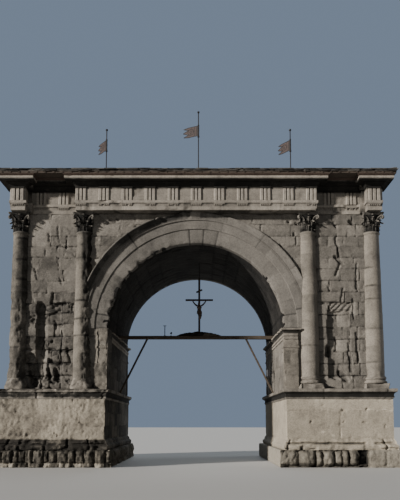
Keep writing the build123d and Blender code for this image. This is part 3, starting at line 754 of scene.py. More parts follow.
MARKS = [
    (-8.22, 9.90, -8.16, 9.66, 0.035, 0.05), (-8.12, 9.55, -8.04, 9.32, 0.035, 0.05), (-6.94, 9.42, -6.79, 9.11, 0.05, 0.05),
    (-7.25, 8.61, -7.30, 8.10, 0.05, 0.09), (-7.10, 7.98, -6.62, 8.12, 0.07, 0.13), (-7.55, 7.78, -7.15, 7.92, 0.03, 0.06),
    (-7.60, 7.39, -6.89, 7.80, 0.045, 0.08), (-8.36, 7.44, -8.11, 7.44, 0.045, 0.07), (-7.25, 6.18, -7.22, 6.20, 0.06, 0.10),
    (-7.15, 7.24, -7.05, 6.83, 0.05, 0.08), (-6.74, 7.34, -6.74, 4.71, 0.035, 0.06), (-7.40, 5.22, -6.89, 5.06, 0.10, 0.13),
    (-7.00, 4.71, -6.89, 4.20, 0.10, 0.17), (-7.50, 4.30, -7.10, 4.10, 0.08, 0.14), (-6.49, 5.82, -6.29, 5.11, 0.05, 0.09),
    (-8.30, 5.40, -8.05, 4.10, 0.20, 0.26), (-8.15, 7.30, -8.22, 7.20, 0.07, 0.10), (-7.40, 4.75, -7.36, 4.25, 0.09, 0.22), (-7.02, 4.75, -7.0, 4.30, 0.09, 0.20),
    (-6.66, 11.02, -6.62, 10.98, 0.06, 0.12), (-4.42, 12.47, -4.10, 12.37, 0.07, 0.11), (-4.05, 12.50, -3.98, 12.45, 0.06, 0.12),
    (-3.10, 12.10, -2.90, 12.05, 0.05, 0.06), (-7.55, 11.70, -7.50, 11.30, 0.045, 0.06), (-7.05, 12.10, -7.02, 11.5, 0.04, 0.05),
    (4.70, 12.35, 4.74, 12.31, 0.06, 0.13), (5.10, 12.26, 5.14, 12.22, 0.06, 0.13), (5.00, 11.70, 5.02, 11.67, 0.055, 0.12), (4.25, 11.09, 4.28, 11.07, 0.055, 0.12),
    (7.12, 11.50, 7.33, 10.28, 0.05, 0.09), (7.33, 10.28, 7.08, 9.57, 0.055, 0.09), (7.10, 10.48, 7.35, 10.22, 0.10, 0.12),
    (8.14, 10.13, 8.09, 8.86, 0.045, 0.07), (7.05, 12.30, 7.15, 12.1, 0.06, 0.08), (7.85, 12.36, 7.95, 12.25, 0.08, 0.10),
    (6.30, 8.12, 7.78, 8.12, 0.025, 0.10), (6.60, 5.9, 6.58, 5.5, 0.10, 0.22),
    (7.89, 8.34, 7.95, 7.34, 0.045, 0.07), (7.30, 8.20, 7.42, 8.86, 0.05, 0.07), (7.64, 6.05, 7.75, 4.71, 0.05, 0.08), (7.0, 6.4, 7.12, 6.1, 0.06, 0.08),
    (7.2, 4.6, 7.5, 4.2, 0.12, 0.14), (8.05, 6.6, 8.1, 5.2, 0.05, 0.08), (6.72, 9.0, 6.8, 8.7, 0.05, 0.07),
]


def wall_d(p, u, z, n, o):
    x, y = p[:, 0], p[:, 1]
    front = n[:, 1] < -0.5
    back = n[:, 1] > 0.5
    fb = front | back
    xm = np.where(back, -x, x)                     # the back repeats the front, turned about
    left = xm < 0
    low = 1 - smooth(z, 8.0, 9.2)
    bay = np.abs(x) > 6.1
    wear = 0.12 + 0.08 * left * fb + 0.18 * low * bay + 0.25 * left * fb * bay * (1 - smooth(z, 5.2, 6.2))
    wear = wear + 0.25 * left * fb * smooth(xm, -7.80, -7.70) * (xm < -6.3) * (1 - smooth(z, 7.9, 8.2))
    wear = wear - 0.10 * (~bay) + 0.20 * smooth(fbm(p * 0.42 + 3.3, 3, 902), 0.05, 0.5)
    wear = np.clip(wear, 0, 1)
    um = np.where(back, -u, u)
    d, tone, g = np.zeros(len(x)), np.zeros(len(x)), np.zeros(len(x))
    for m, cw, crisp, wobble, depth, rough in ((~left, CWR, 0.34, 0.6, 0.034, 0.026), (left, CWL, 0.10, 0.9, 0.036, 0.036)):
        if m.any():
            d[m], tone[m], g[m] = masonry(p[m], um[m], z[m], cw, wear[m], 200, joint=0.018, depth=depth, rough=rough, jitter=0.020, crisp=crisp, wobble=wobble)
    # niches between the columns, with ragged edges
    rag = fbm(p * np.array([2.6, 2.6, 1.9]), 3, 311)
    lo_x = np.where(xm < 0, -8.02 + 0.10 * rag - 0.10 * smooth(5.4 - z, 0.0, 0.5), 6.62 + 0.07 * rag)
    hi_x = np.where(xm < 0, -6.80 + 0.05 * rag, 7.75 + 0.02 * rag)
    hx = smooth(xm - lo_x, -0.03, 0.03) * smooth(hi_x - xm, -0.02, 0.03)
    peak = np.where(xm < 0, 0.28 * (1 - smooth(np.abs(xm + 7.90), 0.05, 0.40)), 0.0)
    top = NICHE_Z1 - 0.10 + np.where(xm < 0, 0.10, 0.03) * fbm(p * 1.9, 3, 312) + peak
    hz = smooth(top - z, -0.04, 0.04) * smooth(z - NICHE_Z0 - 0.10 * fbm(p * 3.0, 2, 313), -0.04, 0.04)
    niche = hx * hz * fb
    back_in = np.where(xm < 0, 0.30 - 0.20 * smooth(xm, -7.75, -7.45), 0.22 - 0.15 * smooth(xm, 7.0, 7.6))
    d = d * (1 - 0.2 * niche) - back_in * niche
    chev = fb * (xm > 6.75) * (xm < 7.85) * (z > 7.72) * (z < 8.16) + 0.0
    saw = np.abs((((xm * 1.0 - (z - 7.9) * 1.1 + 0.05 * vnoise(p * 3.0, 351)) / 0.30) % 1) - 0.5) * 2
    d = np.where(chev > 0, -0.02 - 0.075 * saw - 0.05 * (z < 7.8), d)
    cut = carve(xm, z, p, MARKS) * fb
    d = np.maximum(d - cut, -0.42)
    # painted shade on the left pier's face towards the passage
    tone = tone - 0.30 * ((n[:, 0] > 0.5) & (x < 0) & (x > -5.0))
    px_, pz_ = xm + 0.08 * vnoise(p * 2.0, 341), z + 0.08 * vnoise(p * 2.0, 342)
    tone = tone + 0.12 * fb * left * (1 - smooth(px_, -7.46, -7.40)) * smooth(pz_, 10.45, 10.55) - 0.10 * fb * left * smooth(px_, -7.46, -7.40) * (px_ < -6.1) * smooth(pz_, 11.05, 11.12) * (1 - smooth(pz_, 12.05, 12.12))
    tone = tone - 0.06 * fb * left * bay * (1 - smooth(z, 10.3, 10.6)) - 0.05 * fb * left * bay * (1 - smooth(z, 8.0, 8.4))
    # painted shade: carved hollows and cracks are darkened in proportion to their depth, the deep ones by a fixed step
    tone = tone + 0.08 * smooth(z, 11.4, 12.2) + 0.03 * (~bay) - 1.6 * cut * (cut < 0.2) - 0.15 * (cut >= 0.2)
    return d, tone, 0 * d


def wall_spacing(i, a, b, n):
    return (0.033 if n[1] < -0.5 else 0.075) * F


def wall_band(name, outline, z0, z1, keep_fn, nodes):
    zs = np.linspace(z0, z1, int(round((z1 - z0) / (0.033 * F))) + 1)
    prof = [(0.0, z) for z in zs]
    pts, mitre, nrm, ia, ib, t, edge, length = plan_path(outline, wall_spacing)
    v, f, tone = sweep(outline, prof, wall_spacing, wall_d, cap=False)
    S, K = len(ia), len(prof)
    n2 = nrm[edge]
    P0 = v.reshape(K, S, 3)
    quads = grid_faces(K, S, closed=True)
    c = v[quads].mean(1)
    qn = np.broadcast_to(n2[None], (K, S, 2))[: K - 1].reshape(-1, 2)
    keep = keep_fn(c, qn)
    quads = quads[keep]
    used = np.zeros(len(v), bool)
    used[quads.ravel()] = True
    remap = np.cumsum(used) - 1
    ob = mesh_object(name, v[used], [remap[quads]], tone[used], 42)
    return place(ob, M_WALL, nodes=nodes)


def pier_keep(c, n):
    r = np.hypot(c[:, 0], c[:, 2] - SPRING)
    fb = np.abs(n[:, 1]) > 0.5
    above = c[:, 2] > SPRING
    hide = (fb & above & (r < 5.35)) | ((~fb) & (np.abs(c[:, 0]) < 5.0) & above)
    return ~hide


def spandrel_keep(c, n):
    r = np.hypot(c[:, 0], c[:, 2] - SPRING)
    fb = np.abs(n[:, 1]) > 0.5
    hide = (fb & (r < 5.35)) | ((~fb) & (np.abs(c[:, 0]) < 4.0))
    return ~hide


for s, side in SIDES:
    wall_band("pier_masonry_" + side, sided(s, ARCH_R, SIDE, -FACE, FACE), PED_H, PIER_TOP, pier_keep, ("pier_" + side,))
    wall_band("spandrel_masonry_" + side, sided(s, 0, SIDE, -FACE, FACE), PIER_TOP, CAPITAL_TOP, spandrel_keep, ("spandrel_" + side,))

# =====================================================================================
# vault and archivolts
# =====================================================================================


def arch_strip(name, mat, node, y_values, r_fn, a0, a1, step, displace, smooth_angle=42):
    """A surface of (angle, y) at radius r: the underside of the vault."""
    n = int(round((a1 - a0) * ARCH_R / step)) + 1
    a = np.linspace(a0, a1, n)
    K, S = len(y_values), n
    A, Y = np.meshgrid(a, y_values)
    r = np.full(A.shape, ARCH_R)
    P = np.stack([r * np.cos(A), Y, SPRING + r * np.sin(A)], -1).reshape(-1, 3)
    d, tone = displace(P, A.ravel(), Y.ravel())
    r = r.ravel() + d
    P = np.stack([r * np.cos(A.ravel()), Y.ravel(), SPRING + r * np.sin(A.ravel())], -1)
    inner = P
    # closed with the ring's back and ends
    outer = np.stack([RING_R * np.cos(A.ravel()), Y.ravel(), SPRING + RING_R * np.sin(A.ravel())], -1)
    m = K * S
    f_in = grid_faces(K, S)
    f_out = grid_faces(K, S)[:, ::-1] + m
    idx = np.arange(m).reshape(K, S)
    rims = []
    for line in (idx[0, :], idx[-1, ::-1], idx[::-1, 0], idx[:, -1]):
        rims.append(np.stack([line[1:], line[:-1], line[:-1] + m, line[1:] + m], 1))
    ob = mesh_object(name, np.concatenate([inner, outer]), [f_in, f_out] + rims, np.concatenate([tone, tone]), smooth_angle)
    return place(ob, mat, nodes=(node,))


CV = Courses([0.0, 0.17, 0.34, 0.51, 0.68, 0.85, 1.02, 1.19, 1.36, 1.53, 1.70, 1.87, 2.04, 2.21, 2.38, 2.55, 2.72, 2.89, 3.0], (0.8, 1.6), 131)


def vault_d(p, a, y):
    bed, stand, block, lx, lz = CV.at(y + 0.02 * vnoise(p * 2, 2), a)
    g = 1 - smooth(np.minimum(bed * ARCH_R, stand), 0, 0.045)
    r0, r1 = CV.rand(block, 0), CV.rand(block, 1)
    edge = smooth(-y, FACE - 0.9, FACE) * smooth(fbm(p * 1.5, 3, 141), -0.3, 0.3)
    d = 0.035 * g + 0.03 * (r0 - 0.5) + 0.030 * fbm(p * 2.6, 3, 142) + 0.02 * fbm(p * 7, 2, 143) + 0.10 * edge * (0.3 + (p[:, 0] < 0.5))
    d = np.maximum(d, -0.02) * (1 - 0.85 * smooth(y, 3.2, 3.8))
    tone = 0.36 + 0.26 * (r1 - 0.5) - 0.30 * g + 0.12 * fbm(p * 1.1, 2, 144)
    return d, tone


ys = np.linspace(-FACE, FACE, int(round(2 * FACE / (0.075 * F))) + 1)
arch_strip("vault_stones", M_VAULT_PAINTED_SHADE, "barrel_vault", ys, None, 0.0, math.pi, 0.075 * F, vault_d)

# the face rings: two flat bands and a strong outer moulding whose face leans in to the opening
ARC_PROFILE = [
    (5.90, -0.10), (5.945, 0.02), (5.955, 0.20), (5.95, 0.385), (5.935, 0.405), (5.885, 0.410), (5.870, 0.385), (5.825, 0.325), (5.770, 0.265), (5.700, 0.205),
    (5.625, 0.160), (5.600, 0.150), (5.592, 0.168), (5.575, 0.172), (5.560, 0.165), (5.553, 0.105), (5.115, 0.092), (5.100, 0.040), (4.460, 0.025), (4.415, 0.012), (4.395, -0.02), (4.395, -0.35),
]


def archivolt(sy):
    prof = []
    for a, b in zip(ARC_PROFILE[:-1], ARC_PROFILE[1:]):
        m = max(1, int(round(math.dist(a, b) / (0.055 * F))))
        prof += [(a[0] + (b[0] - a[0]) * k / m, a[1] + (b[1] - a[1]) * k / m) for k in range(m)]
    prof.append(ARC_PROFILE[-1])
    prof = np.array(prof)
    n = int(round(math.pi * 5.2 / ((0.05 if sy < 0 else 0.08) * F))) + 1
    a = np.linspace(0.0, math.pi, n)
    K = len(prof)
    R = np.broadcast_to(prof[:, 0][:, None], (K, n))
    O = np.broadcast_to(prof[:, 1][:, None], (K, n))
    A = np.broadcast_to(a[None], (K, n))
    P = np.stack([R * np.cos(A), sy * (FACE + O), SPRING + R * np.sin(A)], -1).reshape(-1, 3)
    ang, r, o = A.ravel(), R.ravel(), O.ravel()
    inner_band = r < 5.107
    count = np.where(inner_band, ang / math.pi * 21, ang / math.pi * 25 + 0.5)
    vous = np.abs((count % 1) - 0.5)
    joint = (1 - smooth(0.5 - vous, 0.004, 0.022)) * smooth(fbm(P * 0.9, 2, 161), -0.45, 0.0)
    block = np.floor(count).astype(np.int64)
    rb = _hash(block, block * 0 + inner_band, block * 0 + 9, 3)
    rough_ = smooth(-P[:, 0], 2.2, 4.2) * smooth(9.6 - P[:, 2], 0.0, 1.5)
    d = -0.016 * joint + (0.006 + 0.022 * rough_) * fbm(P * np.array([6.0, 6.0, 3.2]), 3, 162) + 0.008 * (rb - 0.5)
    # the inner edge is eaten away, most on the left
    near = smooth(4.95 - r, 0.0, 0.55)
    eat = smooth(0.6 * fbm(P * np.array([1.2, 0.4, 1.2]), 3, 163) + 0.55 * fbm(P * np.array([5.5, 1.0, 5.5]), 3, 168) + 0.12 * (P[:, 0] < 0.5), -0.15, 0.45)
    right_eat = smooth(P[:, 0], 2.6, 3.2) * smooth(10.6 - P[:, 2], 0.0, 0.5)
    dr = (0.13 if sy < 0 else 0.04) * near * eat * (0.05 + 0.95 * np.maximum(smooth(-P[:, 0], 0.6, 2.6), 0.9 * right_eat)) * (r < 5.1)
    d -= 0.015 * near * eat
    # the outer moulding is broken near the top and chipped elsewhere
    outer = smooth(r, 5.60, 5.75)
    xm = P[:, 0] * (-sy)
    keep_ = 1 - smooth(np.abs(xm + 0.06), 0.24, 0.30)
    gap = smooth(xm, -1.95, -1.65) * (1 - smooth(xm, 1.25, 1.6)) * (P[:, 2] > SPRING + 3) * (1 - keep_)
    chip = smooth(fbm(P * np.array([2.4, 0.5, 2.4]), 3, 165), 0.36, 0.60) * 0.6 * (P[:, 2] > SPRING + 1.0)
    lost = np.clip(gap * (0.75 + 0.5 * fbm(P * np.array([3.0, 0.5, 3.0]), 2, 164)) + chip, 0, 1) * outer
    # the outer moulding stands out less on the right
    flat = smooth(xm, -0.6, 2.2) * smooth(r, 5.54, 5.57)
    o_m = np.where(r > 5.54, 0.15 + (o - 0.15) * (1 - 0.85 * flat * (o > 0.15)) - 0.05 * flat, o)
    o2 = o_m + d - lost * np.maximum(o_m - 0.10, 0) * 0.9
    o2 = np.where(r < 4.41, o + 0 * d, o2)
    r2 = r + dr * (r < 5.1)
    P2 = np.stack([r2 * np.cos(ang), sy * (FACE + o2), SPRING + r2 * np.sin(ang)], -1)
    tone = 0.52 + 0.16 * (rb - 0.5) - 0.35 * joint + 0.10 * fbm(P * 1.3, 2, 166) - 0.08 * near * eat - 0.10 * lost + (0.24 * near * eat * right_eat + 0.12 * smooth(P[:, 0], 0.8, 2.6)) * (sy < 0)
    # painted shade: the outer moulding's leaning face is darkened on the left half of each ring, and two thin painted
    # shadow lines follow its steps on the right half and over the crown
    tone = tone - 0.34 * smooth(r, 5.60, 5.66) * (1 - smooth(r, 5.90, 5.94)) * (1 - smooth(xm, -1.5, 0.5)) * (o > 0.12)
    line = np.exp(-((r - 5.66) / 0.018) ** 2) + np.exp(-((r - 5.74) / 0.015) ** 2) * 0.7
    tone = tone - 0.30 * line * (o > 0.12) * smooth(xm, -2.0, -0.5)
    q = grid_faces(K, n)
    if sy < 0:
        q = q[:, ::-1]
    c = P2[q].mean(1)
    q = q[np.abs(c[:, 0]) < 5.42]
    used = np.zeros(len(P2), bool)
    used[q.ravel()] = True
    remap = np.cumsum(used) - 1
    name = "archivolt_" + ("front" if sy < 0 else "back")
    ob = mesh_object(name + "_rings", P2[used], [remap[q]], tone[used], 35)
    place(ob, M_RING, nodes=(name,))


archivolt(-1)
archivolt(1)

# =====================================================================================
# pilasters and imposts
# =====================================================================================
for s, side in SIDES:
    bag = Bag()
    for sy in (-1, 1):
        y0, y1 = sorted((sy * (FACE - 0.25), sy * (FACE + 0.12)))

        def anta_d(p, u, z, n, o, s=s, sy=sy):
            wear = (0.30 if s < 0 and sy < 0 else 0.08)
            d, tone, g = masonry(p, u, z, CWL if s < 0 else CWR, np.full(len(u), wear), 400, joint=0.02, depth=0.03, rough=0.012, jitter=0.01, crisp=0.1)
            eaten = (s < 0 and sy < 0) * smooth(fbm(p * np.array([1.6, 1.6, 0.8]), 3, 401), -0.3, 0.4)
            side_ = np.abs(n[:, 0]) > 0.5
            lump_ = (s < 0 and sy < 0) * (0.10 * np.minimum(fbm(p * np.array([2.6, 2.6, 2.0]), 3, 402, 0.6), 0.12) + 0.03 * fbm(p * 7.0, 2, 403))
            # painted shade on the left antae's faces towards the passage
            return d - (0.05 if s < 0 and sy < 0 else 0.0) - (0.03 + 0.05 * side_) * eaten + lump_, tone - 0.05 - 0.34 * (s < 0) * (n[:, 0] > 0.5) + 1.2 * lump_, 0 * d

        prof = fine_profile([(0, PED_H), (0, IMPOST_Z0 - 0.46), (0.035, IMPOST_Z0 - 0.43), (0.035, IMPOST_Z0 - 0.36), (0.0, IMPOST_Z0 - 0.33), (0.0, SPRING)], 0.05 * F)
        v, f, t = sweep(sided(s, ARCH_R - 0.03, 5.10, y0, y1), prof, 0.05 * F, anta_d)
        bag.add(v, f, t)
    place(bag.object("antae_" + side, 40), M_COLUMN, nodes=("pilasters_" + side,))

    def impost_d(p, u, z, n, o, s=s):
        wear = smooth(fbm(p * 1.6, 3, 421), 0.0, 0.5) + (1.0 if s < 0 else 0.0) * smooth(-p[:, 1], 1.2, 2.6)
        d = 0.008 * fbm(p * 4, 2, 422) - 0.09 * wear * smooth(o, 0.0, 0.12)
        # painted shade: the cavetto under the top fillet and the small groove between the fasciae are darkened; the top
        # edge and top face are darker as well
        line = smooth(z, zi + 0.27, zi + 0.30) * (1 - smooth(z, zi + 0.44, zi + 0.455)) + 0.8 * smooth(z, zi + 0.518, zi + 0.53) + 0.6 * smooth(z, zi + 0.126, zi + 0.136) * (1 - smooth(z, zi + 0.156, zi + 0.166))
        return d, 0.60 + 0.1 * fbm(p * 2, 2, 423) - 0.08 * wear - 0.45 * np.clip(line, 0, 1), 0 * d

    yf = -(FACE + 0.12) if s > 0 else -2.75
    zi = IMPOST_Z0
    prof = [(-0.4, zi), (0.02, zi), (0.035, zi + 0.015), (0.035, zi + 0.125), (0.018, zi + 0.135), (0.018, zi + 0.155), (0.055, zi + 0.165), (0.055, zi + 0.265), (0.028, zi + 0.285), (0.030, zi + 0.335),
            (0.055, zi + 0.385), (0.105, zi + 0.425), (0.165, zi + 0.445), (0.178, zi + 0.455), (0.185, zi + 0.52), (0.172, zi + 0.525), (0.165, zi + 0.55), (-0.4, zi + 0.55)]
    v, f, t = sweep(sided(s, ARCH_R - 0.005, 5.06, yf, FACE + 0.12), fine_profile(prof, 0.05 * F), 0.06 * F, impost_d)
    place(mesh_object("impost_band_" + side, v, f, t, 35), M_CARVED, nodes=("impost_" + side,))

# =====================================================================================
# columns
# =====================================================================================
DRUMS = {}


def column_shaft(x, y, key, worn, around, soot_and_shade=None, lost=None):
    rng = np.random.default_rng(500 + key)
    zs = [TORUS_TOP]
    while zs[-1] < SHAFT_TOP - 0.9:
        zs.append(zs[-1] + rng.uniform(0.62, 1.15))
    zs = np.array(zs[1:])
    n = int(round((SHAFT_TOP - TORUS_TOP) / (0.06 * F)))
    t = np.linspace(0, 1, n + 1)
    r = R_LOW + (R_TOP - R_LOW) * np.clip((t - 0.2) / 0.8, 0, 1) ** 1.2
    prof = [(a, TORUS_TOP + (SHAFT_TOP - TORUS_TOP) * b) for a, b in zip(r, t)]
    prof = [(R_LOW + 0.06, TORUS_TOP - 0.02), (R_LOW + 0.04, TORUS_TOP + 0.03)] + prof[1:-1] + [(R_TOP + 0.01, SHAFT_TOP - 0.02), (R_TOP + 0.045, SHAFT_TOP + 0.01), (R_TOP + 0.045, SHAFT_TOP + 0.05), (R_TOP, SHAFT_TOP + 0.07)]

    if lost is not None:
        prof = [(R_LOW, TORUS_TOP - 0.30)] + prof[2:]

    def d(p, ang, z):
        near = np.min(np.abs(z[:, None] - zs[None] - 0.01 * vnoise(p * 3, 9)[:, None]), 1)
        drum = np.searchsorted(zs, z)
        rd = _hash(drum, drum * 0 + key, drum * 0, 6)
        lump = fbm(p * 2.1 + key, 3, 513)
        vert = fbm(p * np.array([7.5, 7.5, 1.1]), 3, 512 + key)
        fine = fbm(p * 8.0, 3, 516)
        w = np.clip(worn(ang, z) + 0.35 * (rd - 0.5) * (worn(ang, z) > 0.3) + 0.3 * fbm(p * 0.8, 2, 510), 0, 1)
        joint = (1 - smooth(near, 0.0, 0.028 + 0.04 * w)) * smooth(fbm(p * np.array([1.5, 1.5, 0.4]), 2, 515), -0.35, 0.1)
        out = -0.022 * joint * (0.5 + w) + 0.008 * lump + 0.008 * (rd - 0.5) + 0.008 * fine
        rough = fbm(p * np.array([5.5, 5.5, 4.4]) + key, 4, 517, 0.66)
        out += w * w * (0.035 * vert + 0.06 * np.minimum(lump, 0.15) + 0.135 * np.minimum(rough, 0.2) - 0.02)
        bite = smooth(fbm(p * np.array([3.4, 3.4, 1.9]) + key * 3.1, 3, 514), 0.14, 0.40) * smooth(w, 0.45, 0.85)
        out -= 0.055 * bite
        tone = 0.60 + 0.22 * (rd - 0.5) - 0.32 * joint + 0.12 * lump - 0.14 * bite + 0.20 * rough * w - 0.10 * w
        # the darkening passed in lowers the tone: soot, and painted shade on the side away from the key light
        if soot_and_shade is not None:
            tone = tone - soot_and_shade(ang, z)
        if lost is not None:
            out = out - lost(ang, z)
        return np.maximum(out, -0.20), tone

    return lathe(x, y, prof, around, d, cap=False)


def column_base(x, y, key, worn, wall_axis):
    bag = Bag()
    h = PLINTH
    if worn > 0.9:
        prof = fine_profile([(0.3, PED_H - 0.01), (0.60, PED_H + 0.0), (0.61, PED_H + 0.12), (0.58, PED_H + 0.22), (0.54, PED_H + 0.32), (0.51, PED_H + 0.42), (0.47, PED_H + 0.53), (0.415, PED_H + 0.66), (0.30, PED_H + 0.70)], 0.04 * F)

        def cone_d(p, ang, z):
            sq = 0.06 * np.cos(4 * ang) * (1 - smooth(z, PED_H + 0.12, PED_H + 0.30))
            return -sq + 0.020 * fbm(p * 2.2 + key, 3, 533) + 0.105 * np.minimum(fbm(p * np.array([5.0, 5.0, 4.0]), 4, 534, 0.65), 0.18), 0.46 + 0.35 * fbm(p * 5, 3, 535)

        v, f, t = lathe(x, y, prof, int(72 / F), cone_d)
        bag.add(v, f, t)
        return bag

    def pd(p, u, z, n, o):
        w = smooth(fbm(p * 1.5 + key, 3, 530), -0.3, 0.4) * worn
        return 0.012 * fbm(p * 4, 2, 531) - 0.16 * w, 0.5 + 0.12 * fbm(p * 2, 2, 532) - 0.1 * w, -0.02 * w * (z > 3.9)

    prof = fine_profile([(-0.25, PED_H), (0, PED_H), (0, PLINTH_TOP - 0.02), (-0.02, PLINTH_TOP), (-0.25, PLINTH_TOP)], 0.06 * F)
    v, f, t = sweep(rect(x - h, x + h, y - h, y + h), prof, 0.065 * F, pd)
    bag.add(v, f, t)
    z0, z1 = PLINTH_TOP, TORUS_TOP
    r1, r2 = R_LOW + 0.115, R_LOW + 0.07
    prof = [(0.3, z0 - 0.01), (r1 - 0.03, z0 - 0.005)]
    for k in range(9):
        a = -math.pi / 2 + math.pi * k / 8
        prof.append((r1 - 0.055 + 0.055 * math.cos(a), z0 + 0.065 + 0.065 * math.sin(a)))
    prof += [(r1 - 0.06, z0 + 0.145), (R_LOW + 0.02, z0 + 0.165), (R_LOW + 0.02, z0 + 0.185), (r2 - 0.03, z0 + 0.20)]
    for k in range(7):
        a = -math.pi / 2 + math.pi * k / 6
        prof.append((r2 - 0.04 + 0.04 * math.cos(a), z0 + 0.245 + 0.04 * math.sin(a)))
    prof += [(R_LOW + 0.03, z1), (0.3, z1 + 0.01)]

    def bd(p, ang, z):
        w = smooth(fbm(p * 1.7 + key * 2.0, 3, 540), -0.25, 0.4) * worn
        return 0.012 * fbm(p * 5, 2, 541) - 0.075 * w, 0.52 + 0.12 * fbm(p * 2.4, 2, 542) - 0.12 * w

    v, f, t = lathe(x, y, prof, int(56 / F), bd)
    bag.add(v, f, t)
    return bag


def leaf(width, height, curl, lobes=4, nu=9, nv=14, thick=0.024):
    """An acanthus leaf standing in the XZ plane, its face towards -Y: toothed edges, ribs, tip rolled out and down."""
    U, V = np.meshgrid(np.linspace(-1, 1, nu), np.linspace(0, 1, nv))
    body = (0.66 + 0.34 * np.sin(np.pi * np.clip(V * 0.92 + 0.04, 0, 1))) * (1 - smooth(V, 0.80, 1.0) * 0.50)
    tooth = (V * lobes + 0.35) % 1
    X = U * body * (0.72 + 0.28 * tooth) * width / 2
    bend = np.clip((V - 0.60) / 0.40, 0, 1)
    Z = height * (V - 0.20 * bend ** 2 * (1 + 0.9 * bend)) + 0.02 * tooth * np.abs(U) ** 3
    Y = -curl * (0.12 * V + 0.98 * bend ** 1.5)
    Y = Y + 0.17 * width * U ** 2 * (1 - 0.6 * bend) - 0.016 * np.cos(U * np.pi * 4.0) * (0.4 + V) - 0.030 * (1 - smooth(np.abs(U), 0.0, 0.2))
    Y = Y - 0.035 * tooth * np.abs(U) ** 2
    front = np.stack([X, Y, Z], -1).reshape(-1, 3)
    back = front + np.array([0, thick, -0.3 * thick])
    m = nu * nv
    q = grid_faces(nv, nu)
    idx = np.arange(m).reshape(nv, nu)
    rims = []
    for line in (idx[0, :], idx[:, -1], idx[-1, ::-1], idx[::-1, 0]):
        rims.append(np.stack([line[:-1], line[:-1] + m, line[1:] + m, line[1:]], 1))
    # painted light and shade: the leaf's face is lighter up towards its rolled tip, darker along the ribs and towards
    # the toothed edges, and its back is near black
    rib = 1 - smooth(np.abs(np.cos(U * np.pi * 2.0)), 0.15, 0.6)
    shade = (0.30 + 0.30 * V + 0.30 * bend - 0.22 * rib - 0.20 * (1 - tooth) * np.abs(U)).ravel()
    return np.concatenate([front, back]), [q, q[:, ::-1] + m] + rims, np.concatenate([shade, 0.05 + 0 * shade])


def rot_z(v, a):
    c, s_ = math.cos(a), math.sin(a)
    return np.stack([v[:, 0] * c - v[:, 1] * s_, v[:, 0] * s_ + v[:, 1] * c, v[:, 2]], 1)


def volute(r, width, turns=1.6, n=26):
    """A spiral scroll in the XZ plane: a band that winds in, as a closed strip."""
    a = np.linspace(0, turns * 2 * math.pi, n)
    rad = r * (1 - 0.72 * a / a[-1])
    band = 0.34 * rad + 0.008
    c = np.stack([rad * np.cos(a), rad * np.sin(a)], 1)
    inn = np.stack([(rad - band) * np.cos(a), (rad - band) * np.sin(a)], 1)
    v = []
    for ring, y in ((c, -width / 2), (c, width / 2), (inn, width / 2), (inn, -width / 2)):
        v.append(np.stack([ring[:, 0], np.full(n, y), ring[:, 1]], 1))
    v = np.stack(v, 1).reshape(-1, 3)
    q = grid_faces(n, 4, closed=True)
    return v, [q, np.array([[0, 1, 2, 3]]), np.array([[3, 2, 1, 0]]) + (n - 1) * 4]


def ribbon(points, halves, thick, across):
    """A strip of given half-widths through points, across is its sideways direction."""
    points = np.array(points, float)
    n = len(points)
    t = np.gradient(points, axis=0)
    t = t / np.linalg.norm(t, axis=1)[:, None]
    nn = np.cross(t, across)
    nn = nn / np.linalg.norm(nn, axis=1)[:, None]
    h = np.array(halves)[:, None]
    v = []
    for a, b in ((-1, -1), (0, -1.5), (1, -1), (1, 1), (0, 0.6), (-1, 1)):
        v.append(points + across * h * a + nn * thick * b * 0.5)
    v = np.stack(v, 1).reshape(-1, 3)
    return v, [grid_faces(n, 6, closed=True), np.arange(6)[::-1][None], (np.arange(6) + (n - 1) * 6)[None]]


